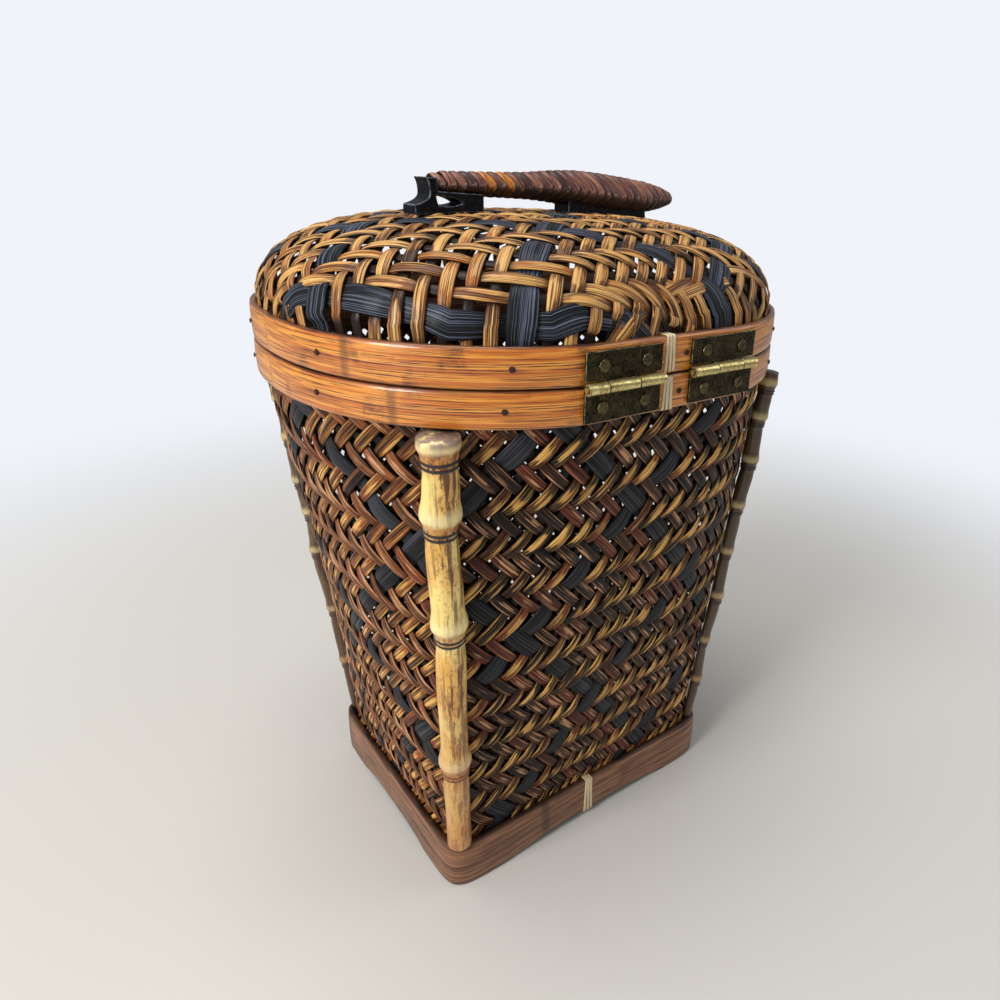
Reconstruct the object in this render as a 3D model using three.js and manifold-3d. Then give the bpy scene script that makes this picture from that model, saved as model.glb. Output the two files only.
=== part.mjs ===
// A lidded basket of woven strips: a square foot hoop, a wall that opens to a rounded mouth,
// corner canes, bamboo hoops at the mouth and round the lid, brass hinges, a hasp and a handle.
// Millimetres. Z is up from the floor, the hinges face +Y and the hasp faces -Y.
import * as THREE from 'three';
import { mergeVertices } from 'three/addons/utils/BufferGeometryUtils.js';
import Module from 'manifold-3d';

const wasm = await Module();
wasm.setup();

// Foot hoop
const footHalfX = 100;
const footHalfY = 80;
const footSquareness = 14;
const footHeight = 29.6;
const footThickness = 4;
const footArchRise = 4.5;
const footPadLength = 36;

// Mouth, where the body's hoops and the lid's hoops meet
const mouthHeight = 300;
const rimHalfX = 140.9;
const rimHalfY = 127;
const rimSquareness = 2.31;
const rimFlatDepth = 4.8;
const rimFlatBlend = 0.8;
const seamGap = 0.6;

// Hoops
const bodyHoopHeight = 16.6;
const lidHoopHeight = 17.6;
const hoopThickness = 3.2;
const hoopCrown = 0.7;
const hoopEdge = 1.6;
const innerHoopThickness = 2.4;
const innerHoopDrop = 1.2;

// Weave
const weaveThickness = 2.4;
const weaveFootSquareness = 10;
const weaveTopInset = 1.2;
const floorHeight = 7;
const domeRise = 46.6;
const domeSpringDrop = 2;
const domePlanPower = 3.2;
const domeRisePower = 2.57;

// Corner canes, each with its nodes as shares of the way up from the foot hoop to the body hoop
const caneTopRadius = 7.4;
const caneFootRadius = 5;
const caneSwell = 0.9;
const caneSwellLength = 4.2;
const canes = {
  corner_post_rear_right: { topTurn: 45, nodes: [0.23, 0.585, 0.82, 0.952] },
  corner_post_rear_left: { topTurn: 135, nodes: [0.18, 0.44, 0.67, 0.85, 0.955] },
  corner_post_front_left: { topTurn: 225, nodes: [0.26, 0.55, 0.76, 0.92] },
  corner_post_front_right: { topTurn: 322, nodes: [0.3, 0.475, 0.665, 0.775, 0.87, 0.955] },
};

// Hinges
const hingeLength = 43.4;
const hingeInnerX = 9.4;
const hingeLeafHeight = 15.4;
const hingeKnuckles = [0.36, 0.4, 0.24];
const leafThickness = 1.2;
const knuckleRadius = 2.7;
const pinRadius = 1.2;
const pinTip = 0.8;
const hingeScrewShare = 0.22;

// Screws, nails and cane ties
const screwHeadRadius = 3.1;
const screwHeadHeight = 0.9;
const screwSlotWidth = 0.8;
const screwSlotDepth = 0.5;
const screwShankRadius = 1.2;
const screwDepth = 2.2;
const nailHeadRadius = 1.5;
const nailHeadHeight = 0.7;
const nailShankRadius = 0.6;
const nailDepth = 2.6;
const nailsRound = 10;
const lidNailTurn = 20.8;
const bodyNailTurn = 19.6;
const strandWidth = 1.7;
const strandThickness = 0.8;
const strandCount = 3;
const tieX = 3.4;

// Hasp, which hangs from the body hoop, and its staple on the lid hoop
const haspWidth = 26;
const haspPivotRise = 4;
const haspPlateHeight = 11;
const haspKnuckles = [0.29, 0.42, 0.29];
const haspLeafWidth = 18;
const haspLeafLength = 33;
const haspSlotWidth = 4.6;
const haspScrewX = 8;
const stapleWidth = 24;
const stapleHeight = 12;
const stapleHalfSpan = 3.4;
const stapleWire = 1;
const stapleStandOff = 10;

// Handle, carved in wood, with a wrapped grip. Its heights are above the dome's top.
const handleX = -5;
const bracketWidth = 14;
const footOuterX = 75;
const footInnerX = 32.5;
const footRise = 9.2;
const postRise = 16.2;
const postWidth = 8;
const postFlare = 2;
const postWaist = 6.5;
const postFootHeight = 5;
const coreWidth = 9;
const coreRise = 15.2;
const coreInset = 4;
const eyeInset = 11.5;
const eyeLength = 11.5;
const eyeHeight = 5.6;
const eyeSill = 3.8;
const gripMidX = -10;
const gripHalfWidth = 12.5;
const gripRidgeRise = 14.2;
const gripRidgeDrop = 3.5;
const gripRiseTop = 8.5;
const gripRiseBelow = 9;
const gripLeftX = 62;
const gripLeftReach = 95;
const gripRightReach = 82;
const gripSectionPower = 1.8;
const slatThickness = 3;
const slatOverhang = 6;
const handleScrewRadius = 1.5;
const handleScrewGrip = 5;
const handleScrewHead = 1.2;
const handleScrewInset = 6;

// Clearance between pieces that lie against each other, and the play of a pin in its bore
const gap = 0.3;
const seatGap = 0.5;

// How finely round things are faceted, and how far a cutting tool runs past what it cuts
const ringSteps = 56;
const cornerCrowding = 0.55;
const knuckleSteps = 12;
const pinSteps = 10;
const caneSteps = 10;
const screwSteps = 8;
const nailSteps = 6;
const past = 1;

const rimFlatY = rimHalfY - rimFlatDepth;
const hoopBottom = mouthHeight - bodyHoopHeight;
const lidBottom = mouthHeight + seamGap;
const lidTop = lidBottom + lidHoopHeight;
const hingeAxisZ = mouthHeight + seamGap / 2;
const hingeAxisY = rimFlatY + gap + knuckleRadius;
const haspAxisZ = hoopBottom + haspPivotRise;
const stapleZ = lidBottom + lidHoopHeight / 2;
const weaveInset = hoopThickness + gap;
const innerHoopInset = weaveInset + weaveThickness + gap;
const domeTop = lidTop - domeSpringDrop + domeRise;
const bracketTop = domeTop + footRise;
const postTop = domeTop + postRise;
const coreTop = domeTop + coreRise;
const coreEndX = coreInset - footOuterX;
const gripRidge = domeTop + gripRidgeRise;

const X = new THREE.Vector3(1, 0, 0);
const Y = new THREE.Vector3(0, 1, 0);
const Z = new THREE.Vector3(0, 0, 1);
// A profile drawn in Y and Z and extruded along X, and one drawn in X and Z and extruded along -Y
const profileYZ = new THREE.Matrix4().makeBasis(Y, Z, X);
const profileXZ = new THREE.Matrix4().makeBasis(X, Z, Y.clone().negate());

const paint = {
  hoop: { color: 0xb96a24, roughness: 0.3, metalness: 0 },
  footHoop: { color: 0x5a3626, roughness: 0.6, metalness: 0 },
  weave: { color: 0x6b4226, roughness: 0.55, metalness: 0 },
  cane: { color: 0xd9b363, roughness: 0.45, metalness: 0 },
  tie: { color: 0xc9a878, roughness: 0.6, metalness: 0 },
  brass: { color: 0x6f5f35, roughness: 0.45, metalness: 0.9 },
  brightBrass: { color: 0xb39a58, roughness: 0.35, metalness: 1 },
  iron: { color: 0x3a2d26, roughness: 0.5, metalness: 0.8 },
  blackWood: { color: 0x14161c, roughness: 0.35, metalness: 0 },
  wrap: { color: 0x5b2a1e, roughness: 0.4, metalness: 0 },
};

const basket = new THREE.Group();
const lid = new THREE.Group();
const handle = new THREE.Group();
handle.position.x = handleX;
lid.add(handle);
basket.add(lid);

function piece(name, geometry, finish, parent = basket) {
  const mesh = new THREE.Mesh(geometry, new THREE.MeshStandardMaterial(finish));
  mesh.name = name;
  parent.add(mesh);
}

// Like pieces, numbered from 1
function pieces(name, shapes, finish, parent = basket) {
  shapes.forEach((shape, i) => piece(`${name}_${i + 1}`, shape, finish, parent));
}

// Solids and cuts

function toSolid(shape) {
  if (!shape.isBufferGeometry) {
    return shape;
  }
  const bare = shape.clone();
  bare.deleteAttribute('normal');
  bare.deleteAttribute('uv');
  const merged = mergeVertices(bare);
  const index = merged.index.array;
  const corners = [];
  for (let i = 0; i < index.length; i += 3) {
    const [a, b, c] = index.slice(i, i + 3);
    if (a !== b && b !== c && c !== a) {
      corners.push(a, b, c);
    }
  }
  return new wasm.Manifold(new wasm.Mesh({
    numProp: 3,
    vertProperties: new Float32Array(merged.attributes.position.array),
    triVerts: new Uint32Array(corners),
  }));
}

function toGeometry(solid) {
  const mesh = solid.getMesh();
  const geometry = new THREE.BufferGeometry();
  geometry.setAttribute('position', new THREE.BufferAttribute(mesh.vertProperties, 3));
  geometry.setIndex(new THREE.BufferAttribute(mesh.triVerts, 1));
  return geometry;
}

function join(shapes) {
  return shapes.map(toSolid).reduce((sum, solid) => sum.add(solid));
}

function cut(shape, tools) {
  return toGeometry(tools.reduce((rest, tool) => rest.subtract(toSolid(tool)), toSolid(shape)));
}

function box(x0, x1, y0, y1, z0, z1) {
  const geometry = new THREE.BoxGeometry(x1 - x0, y1 - y0, z1 - z0);
  return geometry.translate((x0 + x1) / 2, (y0 + y1) / 2, (z0 + z1) / 2);
}

function rod(radius, x0, x1, y, z, steps) {
  const geometry = new THREE.CylinderGeometry(radius, radius, x1 - x0, steps);
  return geometry.rotateZ(Math.PI / 2).translate((x0 + x1) / 2, y, z);
}

// Rings of points joined into one closed skin, with its faces turned outward. A looped skin
// joins its last ring to its first, and any other is closed by a fan at each end.
function skin(rings, looped = false) {
  const count = rings[0].length;
  const points = rings.flat();
  const faces = [];
  const bands = looped ? rings.length : rings.length - 1;
  for (let row = 0; row < bands; row += 1) {
    const here = row * count;
    const next = ((row + 1) % rings.length) * count;
    for (let i = 0; i < count; i += 1) {
      const j = (i + 1) % count;
      faces.push([here + i, here + j, next + j], [here + i, next + j, next + i]);
    }
  }
  if (!looped) {
    for (const [ring, start, turned] of [[rings[0], 0, true], [rings.at(-1), bands * count, false]]) {
      const middle = ring.reduce((sum, p) => sum.add(p), new THREE.Vector3()).divideScalar(count);
      const centre = points.push(middle) - 1;
      for (let i = 0; i < count; i += 1) {
        const j = (i + 1) % count;
        faces.push(turned ? [centre, start + j, start + i] : [centre, start + i, start + j]);
      }
    }
  }
  const sixfold = faces.reduce(
    (sum, [a, b, c]) => sum + points[a].dot(points[b].clone().cross(points[c])), 0);
  const index = faces.flatMap((face) => (sixfold > 0 ? face : [face[0], face[2], face[1]]));
  const geometry = new THREE.BufferGeometry().setFromPoints(points);
  geometry.setIndex(index);
  return geometry;
}

// Outlines. A turn runs once round the basket, and its odd eighths are the corners.

function squareRound(turn, halfX, halfY, squareness) {
  const c = Math.cos(turn);
  const s = Math.sin(turn);
  const reach = (Math.abs(c) ** squareness + Math.abs(s) ** squareness) ** (-1 / squareness);
  return new THREE.Vector2(halfX * c * reach, halfY * s * reach);
}

function footPoint(turn, inset, squareness = footSquareness) {
  return squareRound(turn, footHalfX - inset, footHalfY - inset, squareness);
}

// The rim's front and back are eased to a straight stretch, so that the hinges lie flat on it.
function rimPoint(turn, inset) {
  const point = squareRound(turn, rimHalfX - inset, rimHalfY - inset, rimSquareness);
  const flat = rimFlatY - inset;
  const short = Math.log1p(Math.exp((flat - Math.abs(point.y)) / rimFlatBlend));
  point.y = Math.sign(point.y) * (flat - rimFlatBlend * short);
  return point;
}

// The weave stands upright inside each hoop and runs straight from one to the other between them.
function wallPoint(turn, height, depth) {
  const share = THREE.MathUtils.clamp((height - footHeight) / (hoopBottom - footHeight), 0, 1);
  const low = footPoint(turn, footThickness + gap + depth, weaveFootSquareness);
  const point = low.lerp(rimPoint(turn, weaveInset + depth), share);
  return new THREE.Vector3(point.x, point.y, height);
}

function domeHeight(reach, depth) {
  const spring = lidTop - domeSpringDrop;
  return spring + (domeRise - depth) * (1 - reach ** domePlanPower) ** (1 / domeRisePower);
}

// The dome at a turn and at a share of the way out from its middle
function domePoint(turn, reach, depth) {
  const edge = rimPoint(turn, weaveInset + depth);
  return new THREE.Vector3(edge.x * reach, edge.y * reach, domeHeight(reach, depth));
}

function domeAboveX(x, depth = 0) {
  return domeHeight(Math.abs(x) / (rimHalfX - weaveInset - depth), depth);
}

const turns = Array.from({ length: ringSteps }, (_, i) => {
  const even = (2 * Math.PI * i) / ringSteps;
  return even + (cornerCrowding / 4) * Math.sin(4 * even);
});

const ring = (pointAt) => turns.map(pointAt);
const turnStep = 0.01;

// The level direction that points straight out of an outline
function outward(pointAt, turn) {
  const step = pointAt(turn + turnStep).sub(pointAt(turn - turnStep));
  return new THREE.Vector3(step.y, -step.x, 0).normalize();
}

// A band follows an outline, and each corner of its section keeps its own inset and height.
function band(outline, section) {
  const at = ([inset, z]) => ring((turn) => {
    const point = outline(turn, inset);
    return new THREE.Vector3(point.x, point.y, z);
  });
  return skin(section.map(at), true);
}

// Split bamboo is flat inside and slightly crowned outside.
function splitSection(bottom, top) {
  return [
    [hoopCrown, bottom],
    [0, bottom + hoopEdge],
    [0, top - hoopEdge],
    [hoopCrown, top],
    [hoopThickness, top],
    [hoopThickness, bottom],
  ];
}

// Fasteners

// A revolved piece, drawn as radius and distance along +Z, set at a point and aimed outward
function turned(profile, steps, at, aim) {
  const points = profile.map(([radius, along]) => new THREE.Vector2(radius, along));
  const geometry = new THREE.LatheGeometry(points, steps).rotateX(Math.PI / 2);
  geometry.applyQuaternion(new THREE.Quaternion().setFromUnitVectors(Z, aim));
  return toGeometry(toSolid(geometry.translate(at.x, at.y, at.z)));
}

const screwProfile = (seat) => [
  [0, -screwDepth],
  [screwShankRadius, -screwDepth],
  [screwShankRadius, seat],
  [screwHeadRadius, seat],
  [screwHeadRadius * 0.86, seat + screwHeadHeight * 0.7],
  [0, seat + screwHeadHeight],
];

const nailProfile = [
  [0, -nailDepth],
  [nailShankRadius, -nailDepth],
  [nailShankRadius, gap],
  [nailHeadRadius, gap],
  [nailHeadRadius * 0.7, gap + nailHeadHeight * 0.8],
  [0, gap + nailHeadHeight],
];

const pilot = (radius, depth, reach) => [[0, -depth], [radius, -depth], [radius, reach], [0, reach]];

// Screws on the straight stretch of the rim, through a leaf or plate that lies on it
const plateFace = gap + leafThickness;
const screwSeat = plateFace + gap;

function slottedScrew(x, z, side) {
  const at = new THREE.Vector3(x, side * rimFlatY, z);
  const body = turned(screwProfile(screwSeat), screwSteps, at, new THREE.Vector3(0, side, 0));
  const top = side * (rimFlatY + screwSeat + screwHeadHeight);
  const slot = new THREE.BoxGeometry(screwHeadRadius * 3, screwSlotDepth * 2, screwSlotWidth);
  return cut(body, [slot.rotateY(x).translate(x, top, z)]);
}

function screwHole(x, z, side) {
  const at = new THREE.Vector3(x, side * rimFlatY, z);
  const profile = pilot(screwShankRadius + gap, screwDepth + gap, screwSeat + screwHeadHeight);
  return turned(profile, nailSteps, at, new THREE.Vector3(0, side, 0));
}

// Nails go round at even turns. The one where the hasp is fixed is left out, and one that would
// meet a hinge slides along the hoop until it is clear of the leaf's nearer end.
function meetsHinge(turn) {
  const { x, y } = rimPoint(turn, 0);
  const room = nailHeadRadius + gap;
  const across = Math.abs(x);
  return y > 0 && across > hingeInnerX - room && across < hingeInnerX + hingeLength + room;
}

function clearTurn(turn) {
  const { x } = rimPoint(turn, 0);
  const outerHalf = Math.abs(x) > hingeInnerX + hingeLength / 2;
  const step = turnStep * Math.sign(x) * (outerHalf ? -1 : 1);
  let clear = turn;
  while (meetsHinge(clear)) {
    clear += step;
  }
  return clear;
}

function nailSites(firstTurn, z) {
  const spacing = 360 / nailsRound;
  const byHasp = Math.round((270 - firstTurn) / spacing);
  const sites = [];
  for (let i = 0; i < nailsRound; i += 1) {
    if (i !== byHasp) {
      const turn = clearTurn(THREE.MathUtils.degToRad(firstTurn + spacing * i));
      const { x, y } = rimPoint(turn, 0);
      const aim = outward((near) => rimPoint(near, 0), turn);
      sites.push({ at: new THREE.Vector3(x, y, z), aim });
    }
  }
  return sites;
}

const nailPilot = pilot(nailShankRadius + gap, nailDepth + gap, gap);
const nail = ({ at, aim }) => turned(nailProfile, nailSteps, at, aim);
const nailHole = ({ at, aim }) => turned(nailPilot, nailSteps, at, aim);

// One turn of a cane tie: a flat strand as a closed loop with rounded corners round a hoop
function loopBand(x0, x1, y0, y1, z0, z1, wall) {
  const shape = new THREE.Shape();
  shape.moveTo(y0 - wall, z0);
  shape.quadraticCurveTo(y0 - wall, z0 - wall, y0, z0 - wall);
  shape.lineTo(y1, z0 - wall);
  shape.quadraticCurveTo(y1 + wall, z0 - wall, y1 + wall, z0);
  shape.lineTo(y1 + wall, z1);
  shape.quadraticCurveTo(y1 + wall, z1 + wall, y1, z1 + wall);
  shape.lineTo(y0, z1 + wall);
  shape.quadraticCurveTo(y0 - wall, z1 + wall, y0 - wall, z1);
  const options = { depth: x1 - x0, bevelEnabled: false, curveSegments: 2 };
  const block = new THREE.ExtrudeGeometry(shape, options).applyMatrix4(profileYZ).translate(x0, 0, 0);
  return toSolid(block).subtract(toSolid(box(x0 - past, x1 + past, y0, y1, z0, z1)));
}

function tie({ y0, y1, z0, z1 }) {
  const pitch = strandWidth + gap;
  const first = tieX - (pitch * strandCount - gap) / 2;
  const last = first + pitch * strandCount - gap;
  const turnsRound = Array.from({ length: strandCount }, (_, i) => {
    const x0 = first + pitch * i;
    return loopBand(x0, x0 + strandWidth, y0, y1, z0, z1, strandThickness);
  });
  const pressed = loopBand(first, last, y0, y1, z0, z1, strandThickness / 2);
  const room = strandThickness + 2 * gap;
  const tunnel = loopBand(first - gap, last + gap, y0 + gap, y1 - gap, z0 + gap, z1 - gap, room);
  return { binding: toGeometry(join([pressed, ...turnsRound])), tunnel };
}

// What each tie goes round, with room for the strands, which lie flush with the hoops at the seam
const wallInsideAt = (inset) => rimFlatY - inset;
const rimTieY = {
  y0: wallInsideAt(innerHoopInset + innerHoopThickness) - gap,
  y1: rimFlatY + gap,
};
const bodyTie = tie({ ...rimTieY, z0: hoopBottom - gap, z1: mouthHeight - strandThickness });
const lidTie = tie({ ...rimTieY, z0: lidBottom + strandThickness, z1: lidTop + gap });
const footTie = tie({
  y0: footHalfY - footThickness - gap - weaveThickness - gap,
  y1: footHalfY + gap,
  z0: footArchRise - gap,
  z1: footHeight + gap,
});

// Foot hoop, upright, with a shallow arch under each side that leaves a pad at each corner

function archPrism(halfLength, matrix, depth) {
  const shape = new THREE.Shape();
  shape.moveTo(-halfLength, -past);
  shape.lineTo(-halfLength, 0);
  shape.bezierCurveTo(-halfLength * 0.8, footArchRise, -halfLength * 0.6, footArchRise, 0, footArchRise);
  shape.bezierCurveTo(halfLength * 0.6, footArchRise, halfLength * 0.8, footArchRise, halfLength, 0);
  shape.lineTo(halfLength, -past);
  const options = { depth: depth * 2, bevelEnabled: false, curveSegments: 6 };
  const geometry = new THREE.ExtrudeGeometry(shape, options).translate(0, 0, -depth);
  return geometry.applyMatrix4(matrix);
}

const footSection = [
  [hoopCrown, 0],
  [0, hoopEdge],
  [0, footHeight - hoopEdge],
  [hoopCrown, footHeight],
  [footThickness, footHeight],
  [footThickness, 0],
];
piece('foot_hoop', cut(band(footPoint, footSection), [
  archPrism(footHalfX - footPadLength, profileXZ, footHalfY * 2),
  archPrism(footHalfY - footPadLength, profileYZ, footHalfX * 2),
  footTie.tunnel,
]), paint.footHoop);
piece('foot_tie', footTie.binding, paint.tie);

// Woven body, one weave from the floor to the mouth, open at the top

function wallRings(depth, heights) {
  return heights.map((height) => ring((turn) => wallPoint(turn, height, depth)));
}

const weaveTop = mouthHeight - weaveTopInset;
const wovenBody = skin([
  ...wallRings(0, [floorHeight, footHeight, hoopBottom, weaveTop]),
  ...wallRings(weaveThickness, [weaveTop, hoopBottom, footHeight, floorHeight + weaveThickness]),
]);
piece('woven_body', cut(wovenBody, [bodyTie.tunnel, footTie.tunnel]), paint.weave);

// Body hoops, one outside the weave and one inside, and what is fixed to them

const hingeXs = [hingeInnerX, -hingeInnerX - hingeLength];
const screwXs = hingeXs.flatMap((x) => [
  x + hingeLength * hingeScrewShare,
  x + hingeLength * (1 - hingeScrewShare),
]);
const screwRise = (hingeLeafHeight + knuckleRadius) / 2;
const lowerScrews = screwXs.map((x) => [x, hingeAxisZ - screwRise, 1]);
const upperScrews = screwXs.map((x) => [x, hingeAxisZ + screwRise, 1]);
const haspScrewZ = haspAxisZ + (knuckleRadius + haspPlateHeight) / 2;
const haspScrews = [-haspScrewX, haspScrewX].map((x) => [x, haspScrewZ, -1]);
const stapleScrews = [-haspScrewX, haspScrewX].map((x) => [x, stapleZ, -1]);

const bodyNails = nailSites(bodyNailTurn, mouthHeight - bodyHoopHeight / 2);
const lidNails = nailSites(lidNailTurn, stapleZ);

piece('body_hoop_outer', cut(band(rimPoint, splitSection(hoopBottom, mouthHeight)), [
  ...bodyNails.map(nailHole),
  ...lowerScrews.map((site) => screwHole(...site)),
  ...haspScrews.map((site) => screwHole(...site)),
  bodyTie.tunnel,
]), paint.hoop);

function innerSection(bottom, top) {
  const outer = innerHoopInset;
  const inner = innerHoopInset + innerHoopThickness;
  return [[outer, bottom], [outer, top], [inner, top], [inner, bottom]];
}

piece('body_hoop_inner', cut(
  band(rimPoint, innerSection(hoopBottom, mouthHeight)), [bodyTie.tunnel]), paint.hoop);
pieces('body_hoop_nail', bodyNails.map(nail), paint.iron);
piece('body_hoop_tie', bodyTie.binding, paint.tie);

// Corner canes, swollen at each node, leaning with the wall from the foot hoop to the body hoop

function caneRadius(height) {
  return THREE.MathUtils.mapLinear(height, footHeight, hoopBottom, caneFootRadius, caneTopRadius);
}

function canePoint(turn, height) {
  const aim = outward((near) => wallPoint(near, height, 0), turn);
  return wallPoint(turn, height, 0).addScaledVector(aim, caneRadius(height) + caneSwell + gap);
}

// The corner that a cane's top is nearest to
const cornerTurn = (degrees) => 90 * Math.floor(degrees / 90) + 45;

function cane({ topTurn, nodes }) {
  const foot = canePoint(THREE.MathUtils.degToRad(cornerTurn(topTurn)), footHeight);
  const top = canePoint(THREE.MathUtils.degToRad(topTurn), hoopBottom);
  const aim = top.clone().sub(foot).normalize();
  const lean = Math.sqrt(1 - aim.z * aim.z);
  const footLift = (gap + caneFootRadius * lean) / aim.z;
  const length = (hoopBottom - footHeight - gap - caneTopRadius * lean) / aim.z;
  const plain = (along) => caneRadius(footHeight + along * aim.z);
  const profile = [[0, footLift], [caneFootRadius, footLift]];
  for (const share of nodes) {
    const along = ((hoopBottom - footHeight) * share) / aim.z;
    profile.push([plain(along), along - caneSwellLength / 2]);
    profile.push([plain(along) + caneSwell * 0.6, along - caneSwellLength / 4]);
    profile.push([plain(along), along]);
    profile.push([plain(along) + caneSwell, along + caneSwellLength / 3]);
    profile.push([plain(along), along + caneSwellLength]);
  }
  profile.push([caneTopRadius, length], [0, length]);
  return turned(profile, caneSteps, foot, aim);
}

for (const [name, shape] of Object.entries(canes)) {
  piece(name, cane(shape), paint.cane);
}

// Hinges. A leaf is a plate that rolls into knuckles round the pin, and the two leaves interlock.

function knuckleSpans(x0, length, shares) {
  const spans = [];
  let start = x0;
  for (const share of shares) {
    spans.push([start, start + length * share]);
    start += length * share;
  }
  return spans.map(([from, to], i) => [
    i === 0 ? from : from + gap / 2,
    i === spans.length - 1 ? to : to - gap / 2,
  ]);
}

// up is 1 for a plate above its pin and -1 for one below, and side is the way that it faces
function leaf({ x0, x1, spans, axisZ, up, side, height, holes, slots = [] }) {
  const back = side * (rimFlatY + gap);
  const front = side * (rimFlatY + gap + leafThickness);
  const low = Math.min(back, front);
  const high = Math.max(back, front);
  const axisY = side * hingeAxisY;
  const near = axisZ + up * (knuckleRadius + gap);
  const far = axisZ + up * height;
  const solids = [box(x0, x1, low, high, Math.min(near, far), Math.max(near, far))];
  for (const [from, to] of spans) {
    const middle = axisZ + up * (knuckleRadius + gap * 2);
    solids.push(rod(knuckleRadius, from, to, axisY, axisZ, knuckleSteps));
    solids.push(box(from, to, low, high, Math.min(axisZ, middle), Math.max(axisZ, middle)));
  }
  const bore = rod(pinRadius + gap, x0 - past, x1 + past, axisY, axisZ, pinSteps);
  return cut(join(solids), [bore, ...holes.map((site) => screwHole(...site)), ...slots]);
}

const sides = ['right', 'left'];
hingeXs.forEach((x0, i) => {
  const shares = i === 0 ? hingeKnuckles : [...hingeKnuckles].reverse();
  const spans = knuckleSpans(x0, hingeLength, shares);
  const common = { x0, x1: x0 + hingeLength, axisZ: hingeAxisZ, side: 1, height: hingeLeafHeight };
  const mine = ([x]) => x > x0 && x < x0 + hingeLength;
  const lower = leaf({ ...common, spans: [spans[0], spans[2]], up: -1, holes: lowerScrews.filter(mine) });
  const upper = leaf({ ...common, spans: [spans[1]], up: 1, holes: upperScrews.filter(mine) });
  piece(`hinge_${sides[i]}_lower_leaf`, lower, paint.brass);
  piece(`hinge_${sides[i]}_upper_leaf`, upper, paint.brass, lid);
  const pin = rod(pinRadius, x0 - pinTip, x0 + hingeLength + pinTip, hingeAxisY, hingeAxisZ, pinSteps);
  piece(`hinge_${sides[i]}_pin`, pin, paint.brightBrass);
});
pieces('hinge_lower_screw', lowerScrews.map((site) => slottedScrew(...site)), paint.brass);
pieces('hinge_upper_screw', upperScrews.map((site) => slottedScrew(...site)), paint.brass, lid);

// Hasp. Its plate is screwed to the body hoop, and its slotted leaf hangs and swings up.

const haspX0 = -haspWidth / 2;
const haspSpans = knuckleSpans(haspX0, haspWidth, haspKnuckles);
const haspCommon = { axisZ: haspAxisZ, side: -1 };
piece('hasp_plate', leaf({
  ...haspCommon, x0: haspX0, x1: -haspX0, spans: [haspSpans[0], haspSpans[2]], up: 1,
  height: haspPlateHeight, holes: haspScrews,
}), paint.brass);
const haspPin = rod(pinRadius, haspX0 - pinTip, pinTip - haspX0, -hingeAxisY, haspAxisZ, pinSteps);
piece('hasp_pin', haspPin, paint.brightBrass);
pieces('hasp_plate_screw', haspScrews.map((site) => slottedScrew(...site)), paint.brass);

// The slot passes the staple's whole sweep, from its nearer leg at its root to its farther leg's tip.
const stapleReach = stapleZ - haspAxisZ;
const slotNear = stapleReach - stapleHalfSpan - stapleWire - gap;
const stapleTipY = stapleStandOff - knuckleRadius;
const slotFar = Math.hypot(stapleReach + stapleHalfSpan + stapleWire, stapleTipY) + gap;
const haspSlot = box(
  -haspSlotWidth / 2, haspSlotWidth / 2, -rimFlatY - gap * 2 - leafThickness, -rimFlatY,
  haspAxisZ - slotFar, haspAxisZ - slotNear);
piece('hasp_leaf', leaf({
  ...haspCommon, x0: -haspLeafWidth / 2, x1: haspLeafWidth / 2, spans: [haspSpans[1]], up: -1,
  height: haspLeafLength, holes: [], slots: [haspSlot],
}), paint.brass);

// A wire bent to a half circle between two straight legs, which are sunk in the plate
function staple() {
  const rootY = -rimFlatY - plateFace + leafThickness / 2;
  const bendY = -rimFlatY - stapleStandOff + stapleHalfSpan + stapleWire;
  const bulgeY = bendY - (stapleHalfSpan * 4) / 3;
  const path = new THREE.CurvePath();
  const below = (y) => new THREE.Vector3(0, y, stapleZ - stapleHalfSpan);
  const above = (y) => new THREE.Vector3(0, y, stapleZ + stapleHalfSpan);
  path.add(new THREE.LineCurve3(below(rootY), below(bendY)));
  path.add(new THREE.CubicBezierCurve3(below(bendY), below(bulgeY), above(bulgeY), above(bendY)));
  path.add(new THREE.LineCurve3(above(bendY), above(rootY)));
  const section = new THREE.Shape();
  section.absarc(0, 0, stapleWire, 0, 2 * Math.PI);
  const options = { steps: 16, curveSegments: 4, bevelEnabled: false, extrudePath: path };
  return new THREE.ExtrudeGeometry(section, options);
}

const staplePlate = box(
  -stapleWidth / 2, stapleWidth / 2, -rimFlatY - plateFace, -rimFlatY - gap,
  stapleZ - stapleHeight / 2, stapleZ + stapleHeight / 2);
piece('staple_plate', cut(
  join([staplePlate, staple()]), stapleScrews.map((site) => screwHole(...site))), paint.brass, lid);
pieces('staple_plate_screw', stapleScrews.map((site) => slottedScrew(...site)), paint.brass, lid);

// Lid hoops

piece('lid_hoop_outer', cut(band(rimPoint, splitSection(lidBottom, lidTop)), [
  ...lidNails.map(nailHole),
  ...upperScrews.map((site) => screwHole(...site)),
  ...stapleScrews.map((site) => screwHole(...site)),
  lidTie.tunnel,
]), paint.hoop, lid);
piece('lid_hoop_inner', cut(
  band(rimPoint, innerSection(lidBottom, lidTop - innerHoopDrop)), [lidTie.tunnel]), paint.hoop, lid);
pieces('lid_hoop_nail', lidNails.map(nail), paint.iron, lid);
piece('lid_hoop_tie', lidTie.binding, paint.tie, lid);

// Handle. Its feet follow the dome, its core runs through the wrapped grip, and screws with a
// curved slat inside the dome hold it down. Positions along it are measured from its middle.

const domeUnder = (x) => domeAboveX(x + handleX) + seatGap;
const along = (from, to, count) => Array.from(
  { length: count + 1 }, (_, i) => THREE.MathUtils.lerp(from, to, i / count));

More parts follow.
